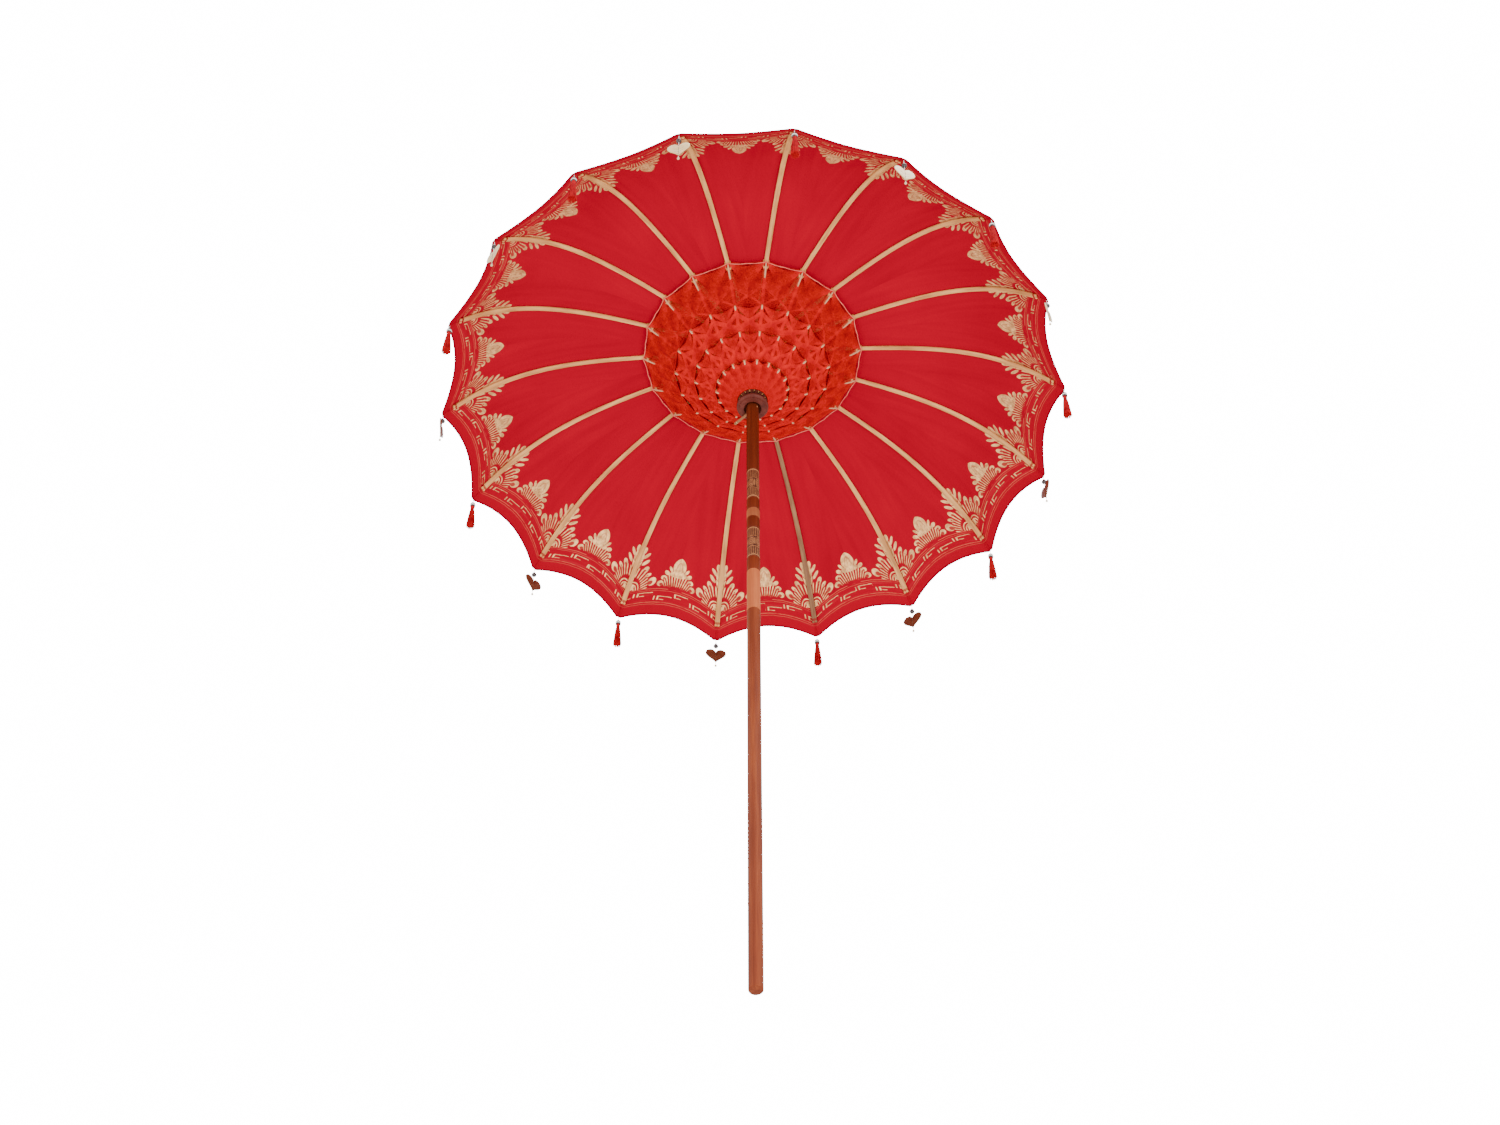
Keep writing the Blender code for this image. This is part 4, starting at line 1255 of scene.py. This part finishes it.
def make_runner(wood):
    """The turned collar with its flared mouth, and the teeth that the stretchers pass between."""
    high = RUNNER_PIVOT[1] + RUNNER_FLANGE
    low = RUNNER_PIVOT[1] - RUNNER_FLANGE
    points = [
        (RUNNER_BORE, high + 0.004), (0.028, high + 0.004), (0.03, high), (0.034, high), (0.034, low),
        (0.03, low - 0.001), (0.03, RUNNER_BOTTOM + 0.022),
    ]
    points += [(radius, RUNNER_BOTTOM + rise) for radius, rise in RUNNER_FOOT]
    mesh = lathe("runner_turned", rounded(points, 0.0012, 3), 72)
    add_part("runner_turned", mesh, wood, "runner", None, 35)
    mesh = teeth_mesh("runner_teeth", 0.0335, 0.046, low, high, SLOT_WIDTH)
    add_part("runner_teeth", mesh, wood, "runner", None, 35)


def make_peg(wood, twine):
    """The locking peg, with string wound in its notch."""
    node = frame["nodes"]["locking_peg"]
    outward = Vector((cos(PEG_AZIMUTH), sin(PEG_AZIMUTH), 0.0))
    reaches = [(node.matrix_world @ vertex.co).dot(outward) for vertex in node.data.vertices]
    inner, outer = min(reaches), max(reaches)
    low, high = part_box("locking_peg")
    wide = (high.z - low.z) / 2
    place = (
        Matrix.Translation((0.0, 0.0, (low.z + high.z) / 2))
        @ Matrix.Rotation(PEG_AZIMUTH, 4, "Z")
        @ Matrix.Rotation(pi / 2, 4, "Y")
    )
    notch = outer - PEG_NOTCH
    points = [
        (0.0, outer), (wide - 0.001, outer), (wide, outer - 0.001), (wide, notch + 0.0022),
        (wide - 0.0012, notch + 0.0012), (wide - 0.0012, notch - 0.0012), (wide, notch - 0.0022),
        (wide - 0.0003, notch - 0.03), (wide, (inner + outer) / 2), (wide - 0.0002, inner + 0.01),
        (wide - 0.002, inner), (0.0, inner),
    ]
    mesh = lathe("peg_turned", rounded(points, 0.0008), 32)
    add_part("peg_turned", mesh, wood, "locking_peg", place, 35)
    path = []
    for step in range(37):
        angle = step * pi / 6
        rise = notch - 0.001 + 0.002 * step / 36
        path.append(((wide - 0.0006) * cos(angle), (wide - 0.0006) * sin(angle), rise))
    tie = Tubes(6)
    tie.add(path, 0.0006)
    add_part("peg_string", tie.mesh("peg_string"), twine, "locking_peg", place, 60)


# ---------------------------------------------------------------- pendants


def ball(depth, radius, squeeze=1.0):
    """The outline of a bead, from its top to its bottom."""
    points = []
    for step in range(13):
        angle = pi * step / 12
        points.append((radius * sin(angle), -depth + radius * squeeze * cos(angle)))
    points[0] = (0.0, points[0][1])
    points[-1] = (0.0, points[-1][1])
    return points


def heart_outline(size):
    """Points round a heart, in the plane across its thickness."""
    points = []
    for step in range(HEART_STEPS):
        angle = 2 * pi * step / HEART_STEPS
        side = sin(angle) ** 3
        rise = 13 * cos(angle) - 5 * cos(2 * angle) - 2 * cos(3 * angle) - cos(4 * angle)
        points.append((side * 0.0335 * size, -0.082 + (rise + 2.3) * 0.00232 * size))
    return points


def heart_plate(name, facing):
    """One face of a heart: a thin plate with a softly rounded rim."""
    points = []
    faces = []
    rings = ((0.0, 1.0), (0.0009, 1.0), (0.0014, 0.965), (0.0016, 0.85), (0.0017, 0.5))
    for depth, size in rings:
        points += [(facing * depth, side, height) for side, height in heart_outline(size)]
    count = len(points) // len(rings)
    for row in range(len(rings) - 1):
        for step in range(count):
            after = (step + 1) % count
            low = row * count
            faces.append((low + step, low + after, low + count + after, low + count + step))
    faces.append(tuple(reversed(range(count))))
    faces.append(tuple((len(rings) - 1) * count + step for step in range(count)))
    return faced_outward(mesh_from(name, points, faces))


def hang(node, number, pieces):
    """Add a pendant's pieces, each a name, a mesh and a finish, under a rib's tip."""
    place = turn(number) @ Matrix.Translation((TIP_RADIUS, 0.0, TIP_HEIGHT))
    for name, mesh, material in pieces:
        add_part(f"{node}_{name}", mesh.copy(), material, node, place)


def make_hearts(cream, brown, dark, white, pale, vein):
    """Heart pendants: shell outside and wood inside, under a dark bead."""
    cord = Tubes(6)
    cord.add([(0.0, 0.0, -0.0025), (0.0004, 0.0, -0.018), (0.0, 0.0, -0.058)], 0.0008)
    cord.add([(0.0, 0.0, -0.119), (0.0, 0.0, -0.128)], 0.0008)
    cord = cord.mesh("heart_cord")
    bead = lathe("heart_bead", ball(0.032, 0.008, 0.9), 32)
    small = lathe("heart_small_bead", ball(0.0215, 0.0035, 0.8), 24)
    end = lathe("heart_end_bead", ball(0.131, 0.0038), 24)
    outer = heart_plate("heart_outer", 1)
    inner = heart_plate("heart_inner", -1)
    lines = Tubes(5)
    for facing in (-1, 1):
        deep = facing * 0.0018
        lines.add([(deep, 0.0, -0.07), (deep, 0.0006, -0.095), (deep, 0.0, -0.117)], 0.0005)
        for side in (-1, 1):
            for start, finish in ((0.083, 0.074), (0.095, 0.086), (0.106, 0.099)):
                reach = 0.016 if start < 0.1 else 0.009
                lines.add([(deep, 0.0, -start), (deep, side * reach, -finish)], 0.00022)
    lines = lines.mesh("heart_veins")
    pieces = (
        ("cord", cord, white), ("bead", bead, dark), ("small_bead", small, white), ("end_bead", end, pale),
        ("shell", outer, cream), ("wood", inner, brown), ("veins", lines, vein),
    )
    for number in range(0, RIB_COUNT, 2):
        hang(f"heart_pendant_{number + 1:02d}", number, pieces)


def make_tassels(yarn, dark, white):
    """Tassels of yarn under a stack of three beads."""
    random = Random(23)
    cord = Tubes(6)
    cord.add([(0.0, 0.0, -0.0025), (0.0003, 0.0, -0.012), (0.0, 0.0, -0.024)], 0.0009)
    cord = cord.mesh("tassel_cord")
    top_bead = lathe("tassel_top_bead", ball(0.0258, 0.008, 0.34), 32)
    white_bead = lathe("tassel_white_bead", ball(0.0315, 0.0088, 0.36), 32)
    low_bead = lathe("tassel_low_bead", ball(0.0375, 0.0084, 0.38), 32)
    neck = Tubes(5)
    path = []
    steps = 12 * TASSEL_WRAPS
    for step in range(steps + 1):
        angle = step * pi / 6
        path.append((0.0056 * cos(angle), 0.0056 * sin(angle), -0.042 - 0.0095 * step / steps))
    neck.add(path, 0.0009)
    neck = joined("tassel_neck", [neck.mesh("wraps"), lathe("core", [
        (0.0, -0.0405), (0.0045, -0.041), (0.0054, -0.043), (0.0054, -0.051), (0.0065, -0.056), (0.0, -0.056)
    ], 24)])
    skirt = Tubes(4)
    for strand in range(TASSEL_STRANDS):
        angle = strand * GOLDEN_ANGLE
        share = ((strand + 0.5) / TASSEL_STRANDS) ** 0.5
        path = []
        bend = random.uniform(-0.1, 0.1)
        for step in range(6):
            fall = step / 5
            spread = 0.005 + 0.0085 * fall ** 0.7
            here = angle + bend * fall
            reach = share * spread
            depth = 0.05 + (0.09 + random.uniform(-0.003, 0.001)) * fall
            path.append((reach * cos(here), reach * sin(here), -depth))
        skirt.add(path, 0.00075)
    skirt = skirt.mesh("tassel_skirt")
    pieces = (
        ("cord", cord, white), ("top_bead", top_bead, dark), ("white_bead", white_bead, white),
        ("low_bead", low_bead, dark), ("neck", neck, yarn), ("skirt", skirt, yarn),
    )
    for number in range(1, RIB_COUNT, 2):
        hang(f"tassel_{number + 1:02d}", number, pieces)


# ---------------------------------------------------------------- stage


def make_stage():
    """White surroundings and a pale floor."""
    world = bpy.data.worlds.new("studio")
    bpy.context.scene.world = world
    world.use_nodes = True
    tree = world.node_tree
    glow = tree.nodes["Background"]
    glow.inputs[1].default_value = AMBIENT
    backdrop = tree.nodes.new("ShaderNodeBackground")
    backdrop.inputs[1].default_value = BACKDROP
    for background in (glow, backdrop):
        background.inputs[0].default_value = (1.0, 1.0, 1.0, 1.0)
    seen = tree.nodes.new("ShaderNodeLightPath")
    choice = tree.nodes.new("ShaderNodeMixShader")
    tree.links.new(seen.outputs["Is Camera Ray"], choice.inputs[0])
    tree.links.new(glow.outputs[0], choice.inputs[1])
    tree.links.new(backdrop.outputs[0], choice.inputs[2])
    tree.links.new(choice.outputs[0], tree.nodes["World Output"].inputs["Surface"])
    bpy.ops.mesh.primitive_plane_add(size=FLOOR_SIZE, location=(0.0, 0.0, -0.0005))
    floor = bpy.context.object
    floor.name = "floor"
    make = Finish("pale_floor", 0.9)
    make.set(Base_Color=(0.9, 0.9, 0.89, 1.0), Specular_IOR_Level=0.1)
    make.set(Emission_Color=(1.0, 1.0, 0.98, 1.0), Emission_Strength=2.0)
    geometry = make.node("ShaderNodeNewGeometry")
    clear = make.node("ShaderNodeBsdfTransparent")
    mix = make.node("ShaderNodeMixShader")
    make.link(geometry.outputs["Backfacing"], mix.inputs[0])
    make.link(make.shader.outputs[0], mix.inputs[1])
    make.link(clear.outputs[0], mix.inputs[2])
    output = next(node for node in make.tree.nodes if node.type == "OUTPUT_MATERIAL")
    make.link(mix.outputs[0], output.inputs["Surface"])
    floor.data.materials.append(make.material)
    floor.visible_shadow = False
    floor.visible_diffuse = False
    floor.visible_glossy = False


def add_light(name, place, power):
    """A square soft light that faces the canopy."""
    lamp = bpy.data.lights.new(name, "AREA")
    lamp.size = LIGHT_SIZE
    lamp.energy = power
    light = bpy.data.objects.new(name, lamp)
    ROOT.objects.link(light)
    light.location = place
    aim = Vector(LIGHT_AIM) - Vector(place)
    light.rotation_euler = aim.to_track_quat("-Z", "Y").to_euler()


def make_camera():
    """The camera looks up under the canopy from below the foot."""
    lens = bpy.data.cameras.new("camera")
    lens.sensor_width = CAMERA_SENSOR
    lens.lens = CAMERA_LENS
    lens.clip_end = 100.0
    camera = bpy.data.objects.new("camera", lens)
    ROOT.objects.link(camera)
    ahead = Vector(CAMERA_AHEAD).normalized()
    side = ahead.cross(Vector(CAMERA_UP)).normalized()
    turned = Matrix((side, side.cross(ahead), -ahead)).transposed().to_4x4()
    camera.matrix_world = Matrix.Translation(CAMERA_PLACE) @ turned
    bpy.context.scene.camera = camera


make_camera()
make_stage()
add_light("key", (3.0, -3.5, -2.0), 220.0)
add_light("fill", (-3.5, -2.0, -1.0), 90.0)
add_light("top", (1.5, -2.0, 6.0), 160.0)

COTTON = cotton_finish()
BAMBOO = bamboo_finish("bamboo_split", (0.26, 0.1, 0.032), (0.54, 0.23, 0.07), (0.93, 0.5, 0.17))
# A darker copy of the split bamboo: painted shade for the rib in the pole's shadow
SHADED_BAMBOO = bamboo_finish(
    "bamboo_painted_shade", (0.08, 0.028, 0.014), (0.19, 0.08, 0.035), (0.4, 0.2, 0.09)
)
NUB_BAMBOO = bamboo_finish("bamboo_pale", (0.26, 0.1, 0.05), (0.56, 0.26, 0.13), (0.95, 0.6, 0.38))
LOWER_WOOD = wood_finish(
    "lower_pole_varnish", (0.1, 0.016, 0.007), (0.185, 0.035, 0.0125), (0.32, 0.072, 0.022), 0.5, 0.03
)
UPPER_WOOD = wood_finish(
    "upper_pole_varnish", (0.06, 0.0075, 0.0032), (0.115, 0.016, 0.005), (0.19, 0.034, 0.0098), 0.4, 0.05
)
BARE_WOOD = wood_finish(
    "bare_wood", (0.28, 0.062, 0.023), (0.41, 0.098, 0.033), (0.6, 0.16, 0.052), 0.55, 0.0
)
TURNED_WOOD = wood_finish(
    "turned_wood_varnish", (0.06, 0.01, 0.007), (0.11, 0.02, 0.0135), (0.18, 0.04, 0.026), 0.4, 0.06
)
PEG_WOOD = wood_finish("peg_wood", (0.16, 0.06, 0.03), (0.34, 0.14, 0.06), (0.7, 0.33, 0.13), 0.5, 0.0)
RING_WOOD = wood_finish(
    "ring_varnish", (0.18, 0.042, 0.018), (0.28, 0.072, 0.026), (0.4, 0.11, 0.04), 0.5, 0.0
)
NECK_WOOD = wood_finish(
    "neck_varnish", (0.08, 0.0105, 0.004), (0.14, 0.02, 0.006), (0.22, 0.038, 0.011), 0.45, 0.03
)
CARVED = [carved_finish(*band) for band in CARVED_BANDS]
CREAM = shell_finish("heart_shell_cream", (0.7545, 0.4173, 0.14), (0.96, 0.76, 0.4), (0.4, 0.2, 0.08))
BROWN = shell_finish(
    "heart_wood_brown", (0.0645, 0.0136, 0.0067), (0.18, 0.05, 0.02), (0.03, 0.008, 0.004)
)
VEIN = plain_finish("heart_vein", (0.1, 0.04, 0.018), (0.2, 0.09, 0.04), 0.6)
DARK_BEAD = plain_finish("dark_bead", (0.012, 0.006, 0.0048), (0.04, 0.015, 0.012), 0.3, 0.3)
PALE_BEAD = plain_finish("pale_bead", (0.5, 0.3, 0.14), (0.85, 0.6, 0.35), 0.45)
WHITE = plain_finish("white_bead", (0.8, 0.75, 0.65), (0.95, 0.93, 0.88), 0.5)
YARN = thread_finish("tassel_yarn_red", (0.3, 0.0025, 0.009), (0.62, 0.006, 0.012))
RED_THREAD = thread_finish("red_thread", (0.37, 0.0018, 0.006), (0.67, 0.0085, 0.008))
LASHING = thread_finish("lashing_red", (0.28, 0.001, 0.009), (0.42, 0.002, 0.013))
EDGE_CORD = thread_finish("edge_cord_thread", (0.66, 0.05, 0.05), (0.95, 0.24, 0.17))
TWINE = thread_finish("twine", (0.38, 0.2138, 0.0964), (0.9, 0.6, 0.2883))
BRASS = plain_finish("pin_brass", (0.3, 0.18, 0.07), (0.5, 0.34, 0.14), 0.35, 0.0, 1.0)

make_canopy(COTTON)
make_ribs(BAMBOO, SHADED_BAMBOO, LASHING, BRASS)
make_stretchers(BAMBOO, NUB_BAMBOO, RED_THREAD)
make_web(RED_THREAD)
make_ring_cords(RED_THREAD, EDGE_CORD)
make_poles(LOWER_WOOD, UPPER_WOOD, BARE_WOOD, RING_WOOD, NECK_WOOD, CARVED)
make_crown(TURNED_WOOD, BRASS)
make_runner(TURNED_WOOD)
make_peg(PEG_WOOD, TWINE)
make_hearts(CREAM, BROWN, DARK_BEAD, WHITE, PALE_BEAD, VEIN)
make_tassels(YARN, DARK_BEAD, WHITE)
